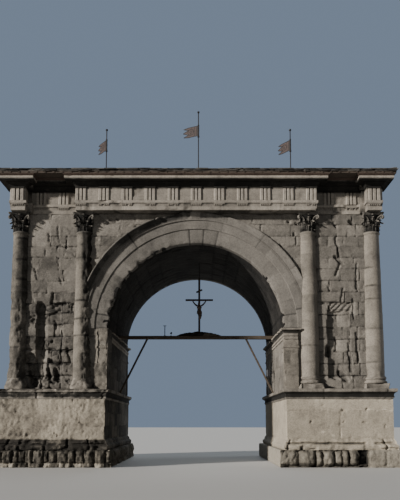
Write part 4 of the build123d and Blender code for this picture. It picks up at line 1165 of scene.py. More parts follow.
def capital(x, y, key, worn):
    bag = Bag()
    rng = np.random.default_rng(600 + key)
    z0, z1 = SHAFT_TOP + 0.05, CAPITAL_TOP
    here = np.array([x, y, 0.0])

    def bell_d(p, ang, z):
        # the bell behind the leaves is painted nearly black, as painted shade in the deep gaps
        return 0.012 * fbm(p * 5 + key, 2, 601), 0.02 + 0.10 * fbm(p * 4, 2, 603)

    prof = [(0.25, z0 - 0.02), (R_TOP + 0.035, z0 - 0.02), (R_TOP + 0.045, z0 + 0.01), (R_TOP + 0.03, z0 + 0.045), (R_TOP - 0.02, z0 + 0.06), (R_TOP - 0.03, z0 + 0.30), (R_TOP - 0.02, z0 + 0.55), (R_TOP + 0.03, z0 + 0.72), (R_TOP + 0.10, z0 + 0.82), (R_TOP + 0.11, z0 + 0.87), (0.25, z0 + 0.87)]
    v, f, t = lathe(x, y, fine_profile(prof, 0.09), int(32 / F), bell_d)
    t = np.where(v[:, 2] < z0 + 0.05, 0.5, t)
    bag.add(v, f, t)
    for count, wid, hei, curl, zz, rr, off in ((8, 0.36, 0.42, 0.15, z0 + 0.03, R_TOP - 0.005, 0.0), (8, 0.38, 0.70, 0.21, z0 + 0.05, R_TOP - 0.005, 0.5)):
        for k in range(count):
            a = 2 * math.pi * (k + off) / count
            grow = 1.0
            if rng.random() < 0.55 * worn:
                grow = rng.uniform(0.40, 0.75)
            lv, lf, lt = leaf(wid * rng.uniform(0.94, 1.06), hei * grow, curl * rng.uniform(0.75, 1.15) * (1 if grow == 1 else 0.35))
            lv = rot_z(lv + np.array([0, -rr, 0]), a) + np.array([x, y, zz])
            lv = lv + 0.014 * np.stack([fbm(lv * 7, 2, 611), fbm(lv * 7, 2, 612), 0.6 * fbm(lv * 7, 2, 613)], 1)
            bag.add(lv, lf, lt + 0.12 * rng.uniform(-1, 1))
    # the corner scrolls on their stems
    for k in range(4):
        a = math.pi / 4 + k * math.pi / 2
        if rng.random() < 0.30 * worn:
            continue
        vv, vf = volute(0.135, 0.11, 1.7)
        vv = vv * np.array([-1, 1, 1])
        vv = vv @ np.array([[0, -1, 0], [1, 0, 0], [0, 0, 1.0]])
        vv = rot_z(vv + np.array([0, -(R_TOP + 0.255), 0]), a) + np.array([x, y, z1 - 0.255])
        bag.add(vv, vf, 0.55)
        for m_ in (-1, 1):
            # two long leaves rise from the upper row and lean out to the corner
            n = 9
            tt = np.linspace(0, 1, n)
            pts = np.stack([m_ * 0.115 * (1 - tt ** 1.5) + m_ * 0.03, -(R_TOP + 0.03 + 0.23 * tt ** 2.0), z0 + 0.42 + 0.42 * np.sin(tt * 1.45)], 1)
            sv, sf = ribbon(pts, 0.060 - 0.022 * tt, 0.045, np.array([0.94, 0.34 * m_, 0.0]))
            # the stems are painted lighter towards their outer ends, as painted light
            bag.add(rot_z(sv, a) + here, sf, 0.30 + 0.35 * np.repeat(tt, 6))
    # a narrow leaf in the middle of each side, up to the flower
    for k in range(4):
        a = k * math.pi / 2
        lv, lf, lt = leaf(0.20, 0.42, 0.10, 3)
        lv = rot_z(lv + np.array([0, -(R_TOP + 0.035), 0]), a) + np.array([x, y, z0 + 0.46])
        bag.add(lv, lf, lt + 0.12)
    # abacus with hollow sides and a flower in the middle of each
    pts = []
    half, dip, cut = 0.570, 0.115, 0.07
    for k in range(4):
        a = k * math.pi / 2
        ux, uy = math.cos(a), math.sin(a)
        for q in np.linspace(-1, 1, 11):
            xx = q * (half - cut)
            yy = -(half - dip * (1 - q * q))
            pts.append((xx * ux - yy * uy, xx * uy + yy * ux))
    pts = np.array(pts)
    n = len(pts)
    rings = []
    for sc, z in ((0.90, z1 - 0.125), (0.93, z1 - 0.09), (0.985, z1 - 0.07), (1.0, z1 - 0.055), (1.0, z1 - 0.004)):
        rings.append(np.concatenate([pts * sc, np.full((n, 1), z)], 1))
    v = np.concatenate(rings) + np.array([x, y, 0])
    chipf = worn * smooth(fbm(v * 2.3 + key, 2, 620), 0.05, 0.4)
    v[:, :2] = v[:, :2] - (v[:, :2] - np.array([x, y])) * (0.22 * chipf)[:, None]
    bag.add(v, [grid_faces(5, n, closed=True), np.arange(n)[::-1][None], (np.arange(n) + 4 * n)[None]], 0.56 - 0.2 * chipf)
    for k in range(4):
        a = k * math.pi / 2
        fv, ff, ft = lathe(0, 0, [(0.01, -0.07), (0.045, -0.055), (0.065, -0.01), (0.05, 0.03), (0.01, 0.04)], 10)
        fv = fv @ np.array([[1, 0, 0], [0, 0, 1], [0, 1, 0.0]])
        fv = fv + np.array([0, -(half - dip) - 0.0, 0])
        fv = rot_z(fv, a) + np.array([x, y, z1 - 0.09])
        bag.add(fv, ff, 0.6)
    return bag



def facing(ang, a0, lo=0.2, hi=0.9):
    """1 where the shaft's surface looks towards the bearing a0 (degrees)."""
    return smooth(np.cos(ang - math.radians(a0)), lo, hi)


def worn_far_left(ang, z):
    return 0.22 + 0.56 * (1 - smooth(z, 8.25, 8.45)) * (0.85 + 0.15 * facing(ang, -50)) + 0.15 * facing(ang, 180, 0.7, 1.0)


def worn_inner_left(ang, z):
    return 0.22 + 0.72 * facing(ang, -32, 0.30, 0.80) * (0.55 + 0.45 * (1 - smooth(z, 9.6, 11.4))) + 0.25 * (1 - smooth(z, 4.5, 5.2))


def worn_little(ang, z):
    return 0.10 + 0.30 * (1 - smooth(z, 4.4, 5.4)) + 0.0 * ang


def worn_some(ang, z):
    return 0.24 + 0.35 * (1 - smooth(z, 4.4, 6.4)) + 0.0 * ang


# These lower the tone of the two left front shafts: evenly and towards the top, as soot, and more on the side turned
# away from the key light, as painted shade.
def soot_and_shade_far_left(ang, z):
    up = smooth(z, 8.20, 8.45)
    return 0.20 + 0.05 * up + (0.06 + 0.12 * up) * facing(ang, -38, 0.20, 0.70)


def soot_and_shade_inner_left(ang, z):
    return 0.06 + 0.26 * facing(ang, -40, 0.30, 0.80) * (0.4 + 0.6 * smooth(z, 8.0, 9.6)) + 0.10 * smooth(z, 8.6, 9.4) + 0.20 * smooth(z, 9.6, 10.8)


def lost_far_left(ang, z):
    return 0.040 * (1 - smooth(z, 8.25, 8.40)) * smooth(z, 4.4, 5.0) + 0.0 * ang


def lost_inner_left(ang, z):
    return 0.020 * facing(ang, -40, 0.2, 0.8) * (1 - smooth(z, 6.5, 8.0)) * smooth(z, 4.4, 5.0)


LOST = {(-1, "front", COL_OUT): lost_far_left, (-1, "front", COL_IN): lost_inner_left}
# darkening of the left front shafts, part soot and part painted shade
SOOT_AND_SHADE = {(-1, "front", COL_OUT): soot_and_shade_far_left, (-1, "front", COL_IN): soot_and_shade_inner_left}
WORN = {(-1, "front", COL_OUT): worn_far_left, (-1, "front", COL_IN): worn_inner_left, (1, "front", COL_IN): worn_little, (1, "front", COL_OUT): worn_little}
BASE_WORN = {(-1, "front"): 1.0, (1, "front"): 0.80}
key = 0
for s, side in SIDES:
    bases, caps = Bag(), Bag()
    for where in ("front", "back", "side"):
        shafts = Bag()
        axes = [(COL_OUT, 0.0)] if where == "side" else [(COL_IN, -COL_Y if where == "front" else COL_Y), (COL_OUT, -COL_Y if where == "front" else COL_Y)]
        for cx, cy in axes:
            key += 1
            worn = WORN.get((s, where, cx), worn_some)
            bw = BASE_WORN.get((s, where), 0.6)
            v, f, t = column_shaft(s * cx, cy, key, worn, int((84 if where == "front" else 44) / F), SOOT_AND_SHADE.get((s, where, cx)), LOST.get((s, where, cx)))
            shafts.add(v, f, t)
            for src, dst in ((column_base(s * cx, cy, key, bw, where), bases), (capital(s * cx, cy, key, 0.5 * bw), caps)):
                off = dst.n
                dst.v += src.v
                dst.t += [tt - (0.12 if s < 0 and where == "front" and dst is caps else 0.0) for tt in src.t]
                for kk, fs in src.f.items():
                    dst.f.setdefault(kk, []).extend([q + off for q in fs])
                dst.n += src.n
        node = ("column_" if where == "side" else "columns_") + where + "_" + side
        place(shafts.object("shafts_" + where + "_" + side, 50), M_COLUMN, nodes=(node,))
    place(bases.object("bases_" + side, 40), M_CARVED, nodes=("column_bases_" + side,))
    place(caps.object("leaf_capitals_" + side, 45), M_CAPITAL, nodes=("capitals_" + side,))

# =====================================================================================
# entablature
# =====================================================================================


def entablature_outline():
    q = [(CENTRAL_X, RES_Y), (CENTRAL_X, FACE), (CORNER_X0, FACE), (CORNER_X0, RES_Y), (RES_X, RES_Y), (RES_X, CORNER_Y0), (SIDE, CORNER_Y0), (SIDE, SIDE_RES_Y), (RES_X, SIDE_RES_Y)]
    br = [(x, -y) for x, y in q]                      # front right, walking right then back
    fr = [(x, y) for x, y in reversed(q)]             # back right
    bl = [(-x, y) for x, y in q]
    fl = [(-x, -y) for x, y in reversed(q)]
    return br + fr + bl + fl


OUT = entablature_outline()


def ent_spacing(i, a, b, n):
    return (0.05 if n[1] < -0.5 else 0.09) * F


CA = Courses([12.7, 13.3], (1.2, 2.6), 701)


def ent_d(p, u, z, n, o):
    bed, stand, block, lx, lz = CA.at(u, z * 0 + 13.0)
    g = 1 - smooth(stand, 0, 0.022)
    chip = smooth(fbm(p * np.array([1.5, 1.5, 2.2]), 3, 711), 0.30, 0.6)
    inner = smooth(-o, 0.05, 0.2)
    d = -0.012 * g + 0.007 * fbm(p * 3.5, 3, 712) - 0.055 * chip
    patch = np.where((p[:, 0] > -0.63) & (p[:, 0] < 2.77) & (p[:, 1] < 0), -0.16, 0.0) + 0.14 * (CA.rand(block, 2) - 0.5)
    # painted shade: a band under the taenia is darkened as its shadow, and the underside is darkened
    tone = 0.71 + patch + 0.14 * fbm(p * 0.9, 2, 713) - 0.3 * g - 0.2 * chip - 0.22 * smooth(z, 12.95, 13.0) * (1 - smooth(z, 13.09, 13.11)) - 0.34 * (z < 12.75) * (o < -0.01)
    return d * (1 - inner), tone, 0 * d


prof = [(-0.4, 12.74), (-0.02, 12.74), (0.0, 12.76), (0.0, 13.09), (0.02, 13.10), (0.055, 13.11), (0.06, 13.125), (0.06, 13.225), (0.05, 13.24), (-0.4, 13.24)]
v, f, t = sweep(OUT, fine_profile(prof, 0.09 * F), ent_spacing, ent_d, cap="tube")
place(mesh_object("architrave_blocks", v, f, t, 35), M_CARVED, nodes=("architrave",))
# undersides between the architrave's foot and the wall behind it, painted dark as shade
under = Bag()
spans = [(-CENTRAL_X + 0.2, CENTRAL_X - 0.2, s_ * (RES_Y - 0.36), s_ * (FACE - 0.12)) for s_ in (-1, 1)]
spans += [(sx_ * (CORNER_X0 + 0.02), sx_ * (RES_X - 0.36), sy_ * (RES_Y - 0.36), sy_ * (CORNER_Y0 + 0.02)) for sx_ in (-1, 1) for sy_ in (-1, 1)]
spans += [(sx_ * (SIDE - 0.12), sx_ * (RES_X - 0.36), -SIDE_RES_Y + 0.02, SIDE_RES_Y - 0.02) for sx_ in (-1, 1)]
for xa_, xb_, ya_, yb_ in spans:
    bv, bf = box_mesh((min(xa_, xb_), min(ya_, yb_), 12.744), (max(xa_, xb_), max(ya_, yb_), 12.80), 0.3)
    bv = np.array(bv, float)
    bv[:, 2] += 0.003 * vnoise(bv * 2.5, 731)
    under.add(bv, bf, 0.26)
place(under.object("architrave_undersides", 35), M_CARVED, nodes=("architrave",))


def frieze_d(p, u, z, n, o):
    chip = smooth(fbm(p * np.array([1.3, 1.3, 1.3]), 3, 721), 0.32, 0.6)
    d = 0.008 * fbm(p * 3.5, 3, 722) - 0.04 * chip
    # painted shadow: the top of the frieze is darkened as the cornice's shadow
    tone = 0.58 + 0.12 * fbm(p * 0.9, 2, 723) - 0.15 * chip - 0.9 * smooth(z, 13.83, 13.93)
    return d * (o > -0.02), tone, 0 * d


v, f, t = sweep(OUT, fine_profile([(-0.3, 13.24), (0, 13.24), (0, 13.95), (-0.3, 13.95)], 0.10 * F), ent_spacing, frieze_d, cap="tube")
place(mesh_object("frieze_blocks", v, f, t, 35), M_CARVED, nodes=("frieze",))

# triglyphs with their grooves, regulae and guttae
tri = Bag()


def triglyph(cx, cy, n, width, seed):
    """n is the outward direction; the grooves are cut right through the profile in plan."""
    w = width / 2
    k = width / 0.54
    o = 0.062
    xs = [-w, -w + 0.030 * k, -w + 0.135 * k, -w + 0.165 * k - 0.0, -w + 0.195 * k, -w + 0.300 * k - 0.0]
    plan = [(-w, -0.03), (-w, 0.020), (-w + 0.032 * k, o)]
    for c in (-0.09 * k, 0.09 * k):
        plan += [(c - 0.040 * k, o), (c, 0.006), (c + 0.040 * k, o)]
    plan += [(w - 0.032 * k, o), (w, 0.020), (w, -0.03)]
    plan = np.array(plan)
    m = len(plan)
    zs = [13.235, 13.30, 13.42, 13.55, 13.68, 13.80, 13.86]
    t = np.array([-n[1], n[0]])
    V = []
    rng = np.random.default_rng(seed)
    lose = rng.random() < 0.16
    for z in zs:
        q = np.stack([cx + plan[:, 0] * t[0] + plan[:, 1] * n[0], cy + plan[:, 0] * t[1] + plan[:, 1] * n[1], np.full(m, z)], 1)
        V.append(q)
    V = np.concatenate(V)
    dn = 0.010 * fbm(V * 5.0, 2, 731) - (0.03 * smooth(fbm(V * 3.0, 2, 732), 0.0, 0.4) if lose else 0)
    V[:, 0] += n[0] * dn
    V[:, 1] += n[1] * dn
    # painted shade: the bottoms of the grooves are darkened, and the top of the triglyph is darkened as the cornice's
    # shadow
    tone = 0.74 - 0.60 * (np.tile(plan[:, 1], len(zs)) < 0.01) - 0.4 * smooth(V[:, 2], 13.80, 13.86)
    tri.add(V, [grid_faces(len(zs), m), np.arange(m)[::-1][None], (np.arange(m) + (len(zs) - 1) * m)[None]], tone)
    # flat head of the triglyph, painted black as the cornice's shadow; the same helper makes the regula below
    def plate(z0, z1, depth, half, tone_, depth0=-0.03):
        c = [(-half, depth0), (-half, depth), (half, depth), (half, depth0)]
        v_ = []
        for z in (z0, z1):
            for a, b in c:
                v_.append((cx + a * t[0] + b * n[0], cy + a * t[1] + b * n[1], z))
        v_ = np.array(v_)
        tri.add(v_, [grid_faces(2, 4, closed=True), np.array([[3, 2, 1, 0]]), np.array([[4, 5, 6, 7]])], tone_)
    plate(13.865, 13.948, 0.072, w + 0.005, 0.0)
    plate(13.055, 13.115, 0.052, w + 0.01, 0.5)
    # guttae: six small pegs
    for g in range(6):
        if rng.random() < 0.12:
            continue
        gx = -w + (g + 0.5) * width / 6
        ring = []
        for z, r in ((13.062, 0.022 * k), (12.975, 0.034 * k)):
            for a in range(8):
                aa = 2 * math.pi * a / 8
                px, py = gx + r * math.cos(aa), 0.018 + r * 0.9 * math.sin(aa)
                ring.append((cx + px * t[0] + py * n[0], cy + px * t[1] + py * n[1], z))
        tri.add(np.array(ring), [grid_faces(2, 8, closed=True)[:, ::-1], np.arange(8)[None], (np.arange(8) + 8)[::-1][None]], 0.55)


seed = 0
for sy in (-1, 1):
    for k in range(-5, 6):
        seed += 1
        triglyph(k * 1.161, sy * RES_Y, (0, sy), 0.54, seed)
    for s in (-1, 1):
        for xx in (6.80, 7.95):
            seed += 1
            triglyph(s * xx, sy * FACE, (0, sy), 0.54, seed)
        seed += 1
        triglyph(s * 8.975, sy * RES_Y, (0, sy), 0.62, seed)
for s in (-1, 1):
    for yy in (-3.21, -2.14, -1.07, 1.07, 2.14, 3.21):
        seed += 1
        triglyph(s * SIDE, yy, (s, 0), 0.54, seed)
    for yy in (-4.285, 0.0, 4.285):
        seed += 1
        triglyph(s * RES_X, yy, (s, 0), 0.62, seed)
place(tri.object("triglyph_blocks", 28), M_CARVED, nodes=("triglyphs",))


def cor_d(p, u, z, n, o):
    bed, stand, block, lx, lz = CA.at(u + 7.0, z * 0 + 13.0)
    g = 1 - smooth(stand, 0, 0.020)
    inner = smooth(-o, 0.0, 0.2)
    chip = smooth(fbm(p * np.array([1.9, 1.9, 2.5]), 3, 741), 0.36, 0.62) * smooth(o, 0.3, 0.5)
    d = -0.010 * g + 0.006 * fbm(p * 4.0, 2, 742) - 0.05 * chip
    # painted shade: the bed moulding and the corona's underside are painted nearly black as the cornice's own shadow,
    # leaving a thin lighter line along the corona's lower edge
    line = smooth(z, 14.188, 14.196) * (1 - smooth(z, 14.206, 14.214))
    tone = np.where(z < 14.228, 0.30 * line, 0.72) + 0.08 * fbm(p * 1.4, 2, 743) - 0.2 * g - 0.15 * chip
    # painted shade: in the recessed bays the cornice front is near black below the top fillet and darkened above it, as
    # the eave's shadow
    recess = (np.abs(p[:, 0]) > CENTRAL_X + 0.5) & (np.abs(p[:, 0]) < CORNER_X0 - 0.5)
    tone = np.where(recess & (np.abs(n[:, 1]) > 0.5), 0.05 + 0.5 * (tone - 0.05) * (z > 14.24), tone)
    return d * (1 - inner), tone, 0 * d


prof = [(-0.4, 13.95), (0.03, 13.95), (0.05, 13.985), (0.07, 14.03), (0.125, 14.10), (0.165, 14.13), (0.17, 14.175), (0.44, 14.19), (0.445, 14.172), (0.475, 14.172), (0.478, 14.205), (0.482, 14.225),
        (0.495, 14.236), (0.495, 14.332), (0.49, 14.345), (0.3, 14.35), (-0.4, 14.35)]
v, f, t = sweep(OUT, fine_profile(prof, 0.10 * F), ent_spacing, cor_d, cap="tube")
place(mesh_object("cornice_blocks", v, f, t, 32), M_CARVED, nodes=("cornice",))


def cyma_d(p, u, z, n, o):
    joint = 1 - smooth(np.abs(((u / 1.35) % 1) - 0.5) * 1.35, 0.0, 0.02)
    e = smooth(o, 0.42, 0.47)
    return (0.006 * fbm(p * 4.0, 2, 751) - 0.012 * joint) * e, 0.55 + 0.15 * fbm(p * 1.4, 2, 753) - 0.3 * joint, 0 * u


prof = [(0.30, 14.345), (0.490, 14.346), (0.500, 14.362), (0.520, 14.378), (0.552, 14.400), (0.572, 14.422), (0.578, 14.448), (0.30, 14.449)]
v, f, t = sweep(OUT, prof, ent_spacing, cyma_d, cap="tube")
place(mesh_object("gutter_moulding", v, f, t, 32), M_CYMA)

# =====================================================================================
# roof: thick rough slates in courses on a low hip with straight eaves
# =====================================================================================
HX, HY = RES_X + EAVE_OUT, RES_Y + EAVE_OUT
RX, RY = 5.6, 0.16
SL_Y = (RIDGE_Z - EAVE_TOP) / (HY - RY)
SL_X = (RIDGE_Z - EAVE_TOP) / (HX - RX)

# boarding under the slates, set in a little from their edges
ins = 0.13
eave = np.array(rect(-HX + ins, HX - ins, -HY + ins, HY - ins))
ridge = np.array(rect(-RX, RX, -RY, RY))
v = np.concatenate([np.c_[eave, np.full(4, CYMA_TOP + 0.002)], np.c_[eave, np.full(4, EAVE_TOP + 0.02)], np.c_[ridge, np.full(4, RIDGE_Z - 0.03)]])
board = Bag()
board.add(v, [grid_faces(3, 4, closed=True), np.array([[3, 2, 1, 0]]), np.array([[8, 9, 10, 11]])], 0.3)
for k in range(46):
    # rafter feet under the eaves of the long sides
    xx = -9.7 + k * 0.43
    for sy in (-1, 1):
        ya, yb = sorted((sy * (HY - 0.10), sy * (HY - 0.75)))
        bv, bf = box_mesh((xx, ya, CYMA_TOP + 0.004), (xx + 0.10, yb, CYMA_TOP + 0.075), bevel=0.008)
        board.add(bv, bf, 0.25)
M_BOARD = simple_material("roof_boarding", (0.030, 0.024, 0.020), (0.085, 0.066, 0.050), 5.0, 0.8, 0.0, 0.4)
place(board.object("roof_boarding", 30), M_BOARD, nodes=("roof",))

slates = Bag()
rng = np.random.default_rng(800)


def slate_quad(c, along, up, w, h, th, lift, tone, clamp):
    """A slate with a ragged outline lying on the slope: c is the middle of its lower edge."""
    n = np.cross(along, up)
    if n[2] < 0:
        n = -n
    jag = rng.uniform(-0.028, 0.028, 8)
    pts = [(-w / 2, 0.02 + jag[0]), (-w / 5, jag[1]), (w / 5, jag[2]), (w / 2, 0.02 + jag[3]), (w / 2 + jag[4] * 0.4, h), (-w / 2 + jag[5] * 0.4, h)]
    top, bot = [], []
    for a, b in pts:
        lf = lift * (1 - b / h) + 0.006
        q = clamp(c + along * a + up * b)
        top.append(q + n * (lf + th))
        bot.append(q + n * lf)
    v_ = np.array(bot + top)
    m = 6
    side_faces = grid_faces(2, m, closed=True)
    ring = [np.arange(m)[::-1][None], (np.arange(m) + m)[None]]
    e1 = v_[3] - v_[0]
    if np.dot(np.cross(e1, v_[m] - v_[0]), -up) < 0:
        side_faces = side_faces[:, ::-1]
        ring = [r[:, ::-1] for r in ring]
    slates.add(v_, [side_faces] + ring, tone)


def clamp_y(q):
    t = np.clip((HY - abs(q[1])) / (HY - RY), 0, 1)
    lim = HX - (HX - RX) * t - 0.01
    return np.array([np.clip(q[0], -lim, lim), q[1], q[2]])


def clamp_x(q):
    t = np.clip((HX - abs(q[0])) / (HX - RX), 0, 1)
    lim = HY - (HY - RY) * t - 0.01
    return np.array([q[0], np.clip(q[1], -lim, lim), q[2]])


for (ax_, sgn) in (("y", -1), ("y", 1), ("x", -1), ("x", 1)):
    if ax_ == "y":
        run, along, up = HY - RY, np.array([1.0, 0, 0]), np.array([0, -sgn * 1.0, SL_Y])
        expo, clamp = 0.295, clamp_y
    else:
        run, along, up = HX - RX, np.array([0, 1.0, 0]), np.array([-sgn * 1.0, 0, SL_X])
        expo, clamp = 0.300, clamp_x
    up = up / np.linalg.norm(up)
    for r in range(-1, int(run / expo)):
        dist = max(0.0, r * expo) + (0.0 if r >= 0 else 0.03)
        lim = HX if ax_ == "y" else HY
        lim_r = lim - (lim - (RX if ax_ == "y" else RY)) * min(1.0, dist / run)
        a = -lim_r - rng.uniform(0, 0.3)
        while a < lim_r:
            w = rng.uniform(0.30, 0.66)
            mid = a + w / 2
            if abs(mid) < lim_r:
                e = dist + (rng.uniform(0.0, 0.085) if r <= 0 else rng.uniform(-0.03, 0.03))
                low = EAVE_TOP - 0.085 if r < 0 else EAVE_TOP
                x0, y0 = (mid, sgn * (HY - e)) if ax_ == "y" else (sgn * (HX - e), mid)
                zz = low + e * (SL_Y if ax_ == "y" else SL_X)
                c = np.array([x0, y0, zz + rng.uniform(-0.006, 0.006)])
                th = rng.uniform(0.028, 0.05) if r <= 0 else rng.uniform(0.018, 0.036)
                slate_quad(c, along, up, w * 0.985, 0.46, th, 0.012 if r <= 0 else rng.uniform(0.018, 0.040), 0.45 + rng.uniform(-0.24, 0.24), clamp)
            a += w
# caps on the ridge and down the hips
for k in np.arange(-RX - 0.2, RX, 0.42):
    for sy in (-1, 1):
        up = np.array([0, -sy * 1.0, 0.16])
        up /= np.linalg.norm(up)
        slate_quad(np.array([k + 0.2, sy * 0.34, RIDGE_Z - 0.035]), np.array([1.0, 0, 0]), up, 0.44, 0.34, 0.03, 0.03, 0.4 + rng.uniform(-0.2, 0.3), lambda q: q)
for sx in (-1, 1):
    for sy in (-1, 1):
        a_, b_ = np.array([sx * HX, sy * HY, EAVE_TOP + 0.03]), np.array([sx * RX, sy * RY, RIDGE_Z + 0.015])
        L = np.linalg.norm(b_ - a_)
        dirn = (b_ - a_) / L
        for k in np.arange(0.10, L - 0.2, 0.36):
            o = a_ + dirn * k
            for side_ in (-1, 1):
                # each half lies on one of the two slopes
                al = np.array([0, 1.0, 0]) if side_ < 0 else np.array([1.0, 0, 0])
                inward = -sy if side_ < 0 else -sx
                out_dir = al * inward
                slope = SL_X if side_ < 0 else SL_Y
                wv = out_dir * 0.20
                p0, p1 = o, o + dirn * 0.42
                lift0, lift1 = 0.045, 0.015
                zt = 0.03
                v4 = np.array([p0 + [0, 0, lift0], p0 + wv + [0, 0, lift0 * 0.7], p1 + wv + [0, 0, lift1 * 0.7], p1 + [0, 0, lift1]])
                v8 = np.concatenate([v4, v4 + [0, 0, zt]])
                nrm_up = np.cross(v4[1] - v4[0], v4[3] - v4[0])
                fa = [np.array([[3, 2, 1, 0]]), np.array([[4, 5, 6, 7]]), grid_faces(2, 4, closed=True)]
                if nrm_up[2] < 0:
                    fa = [q[:, ::-1] for q in fa]
                slates.add(v8, fa, 0.42 + rng.uniform(-0.2, 0.25))
ob = slates.object("roof_slates", 30)
co = np.zeros(len(ob.data.vertices) * 3, np.float32)
ob.data.vertices.foreach_get("co", co)
co = co.reshape(-1, 3)
co[:, 0] = np.clip(co[:, 0], -HX + 0.001, HX - 0.001)
co[:, 1] = np.clip(co[:, 1], -HY + 0.001, HY - 0.001)
ob.data.vertices.foreach_set("co", co.ravel())
ob.data.update()
place(ob, M_SLATE)

# =====================================================================================
# beam, cross and figure
# =====================================================================================


def timber_box(name, lo, hi, mat, node, axis, slot, seed, step=0.07, amp=0.006):
    """A hewn timber: a box cut in rings along one axis, with worn edges."""
    lo, hi = np.array(lo, float), np.array(hi, float)
    o1, o2 = [k for k in range(3) if k != axis]
    n = max(2, int(round((hi[axis] - lo[axis]) / step)))
    ring = []
    h1, h2 = (hi[o1] - lo[o1]) / 2, (hi[o2] - lo[o2]) / 2
    b = min(h1, h2) * 0.22
    plan = [(-h1, -h2 + b), (-h1 + b, -h2), (0, -h2), (h1 - b, -h2), (h1, -h2 + b), (h1, 0), (h1, h2 - b), (h1 - b, h2), (0, h2), (-h1 + b, h2), (-h1, h2 - b), (-h1, 0)]
    plan = np.array(plan)
    m = len(plan)
    ts = np.linspace(lo[axis], hi[axis], n + 1)
    V = np.zeros((n + 1, m, 3))
    V[:, :, axis] = ts[:, None]
    V[:, :, o1] = (lo[o1] + hi[o1]) / 2 + plan[:, 0][None]
    V[:, :, o2] = (lo[o2] + hi[o2]) / 2 + plan[:, 1][None]
    p = V.reshape(-1, 3)
    s1 = np.full(3, 5.0)
    s1[axis] = 1.2
    k = 1 - 1.4 * amp / max(min(h1, h2), 1e-3) * (0.5 + 0.5 * fbm(p * s1, 3, seed))
    q = p.copy()
    for ax in (o1, o2):
        c = (lo[ax] + hi[ax]) / 2
        q[:, ax] = c + (p[:, ax] - c) * k
    flip = axis == 1
    g = grid_faces(n + 1, m, closed=True)
    caps = [np.arange(m)[::-1][None], (np.arange(m) + n * m)[None]]
    return q, [g] + caps


v, f = timber_box("beam", (-4.385, -0.12, 6.83), (4.385, 0.12, 7.03), None, None, 0, None, 901, amp=0.010)
ob = mesh_object("hewn_beam", v, f, None, 40)
place(ob, M_TIMBER, nodes=("beam",))
for s, side in SIDES:
    a = np.array([s * 2.815, 0.0, 6.835])
    b = np.array([s * 4.325, 0.0, 3.765])
    n = 40
    tt = np.linspace(0, 1, n + 1)
    plan = np.array([(-0.055, -0.045), (-0.045, -0.055), (0.045, -0.055), (0.055, -0.045), (0.055, 0.045), (0.045, 0.055), (-0.045, 0.055), (-0.055, 0.045)])
    V = (a[None] * (1 - tt)[:, None] + b[None] * tt[:, None])[:, None, :] + np.stack([plan[:, 0], plan[:, 1], 0 * plan[:, 0]], 1)[None]
    V = V.reshape(-1, 3)
    V[:, :2] += 0.006 * np.stack([fbm(V * np.array([3, 3, 2.0]), 2, 911), fbm(V * np.array([3, 3, 2.0]), 2, 912)], 1)
    q = grid_faces(n + 1, 8, closed=True)[:, ::-1]
    ob = mesh_object("hewn_strut_" + side, V, [q, np.arange(8)[None], (np.arange(8) + n * 8)[::-1][None]], None, 40)
    place(ob, M_TIMBER, nodes=("strut_" + side,))

# rocks of the mound
mound = Bag()
rng = np.random.default_rng(920)
TOPLINE = [(-1.14, 7.03), (-0.98, 7.12), (-0.64, 7.20), (-0.26, 7.23), (0.0, 7.29), (0.33, 7.28), (0.76, 7.20), (1.20, 7.12), (1.41, 7.03)]
tx = np.array([q[0] for q in TOPLINE])
tz = np.array([q[1] for q in TOPLINE])
nx, na = 60, 16
xs = np.linspace(-1.14, 1.41, nx)
V = []
for x in xs:
    hgt = max(0.02, np.interp(x, tx, tz) - 7.03)
    for a in np.linspace(0, math.pi, na):
        V.append((x, -0.205 * math.cos(a) * min(1.0, 0.35 + hgt * 4), 7.025 + hgt * (math.sin(a) ** 0.7)))
V = np.array(V)
w1, w2, rid = worley(V * np.array([5.0, 5.0, 7.0]), 31)
bump_ = 0.022 * (smooth(w2 - w1, 0.0, 0.4) - 0.5) + 0.022 * (rid - 0.5) + 0.012 * fbm(V * 9, 2, 32)
V[:, 2] = np.clip(V[:, 2] + bump_ * smooth(V[:, 2], 7.03, 7.12), 7.02, 7.40)
V[:, 1] = np.clip(V[:, 1] * (1 + bump_ * 2), -0.21, 0.21)
q = grid_faces(nx, na)
rimq = []
idx = np.arange(nx * na).reshape(nx, na)
# painted shadow: the stones are dark on the left and lighter to the right of a slanting line
mound.add(V, [q, np.stack([idx[:-1, -1], idx[1:, -1], idx[1:, 0], idx[:-1, 0]], 1), idx[0][::-1][None], idx[-1][None]], 0.15 + 0.65 * smooth(V[:, 0] - 0.9 * (V[:, 2] - 7.03), 0.30, 0.42) + 0.1 * (rid - 0.5))
ob = mound.object("rock_mound_stones", 45)
place(ob, M_ROCK, nodes=("rock_mound",))

# cross: post and bar halved together
bag = Bag()
v, f = timber_box("post", (0.09, -0.05, 7.27), (0.21, 0.05, 10.35), None, None, 2, None, 931, amp=0.004)
bag.add(v, f, 0.5)
v, f = timber_box("bar", (-0.635, -0.048, 9.047), (0.935, 0.052, 9.148), None, None, 0, None, 932, amp=0.004)
bag.add(v, f, 0.5)
place(bag.object("cross_timbers", 40), M_CROSS, nodes=("cross",))
for nm, mt, sl in (("titulus", M_PLATE, "plate"), ("hanger_rod", M_IRON, "pole_iron")):
    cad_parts[nm].data.materials.clear()
    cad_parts[nm].data.materials.append(mt)


def ball(c, r, nu=14, nv=9):
    """An ellipsoid."""
    a = np.arange(nu) / nu * 2 * math.pi
    b = np.linspace(-math.pi / 2 * 0.93, math.pi / 2 * 0.93, nv)
    v_ = np.stack([np.outer(np.cos(b), np.cos(a)), np.outer(np.cos(b), np.sin(a)), np.outer(np.sin(b), np.ones(nu))], -1).reshape(-1, 3)
    v_ = v_ * np.array(r) + np.array(c)
    return v_, [grid_faces(nv, nu, closed=True), np.arange(nu)[::-1][None], (np.arange(nu) + (nv - 1) * nu)[None]]


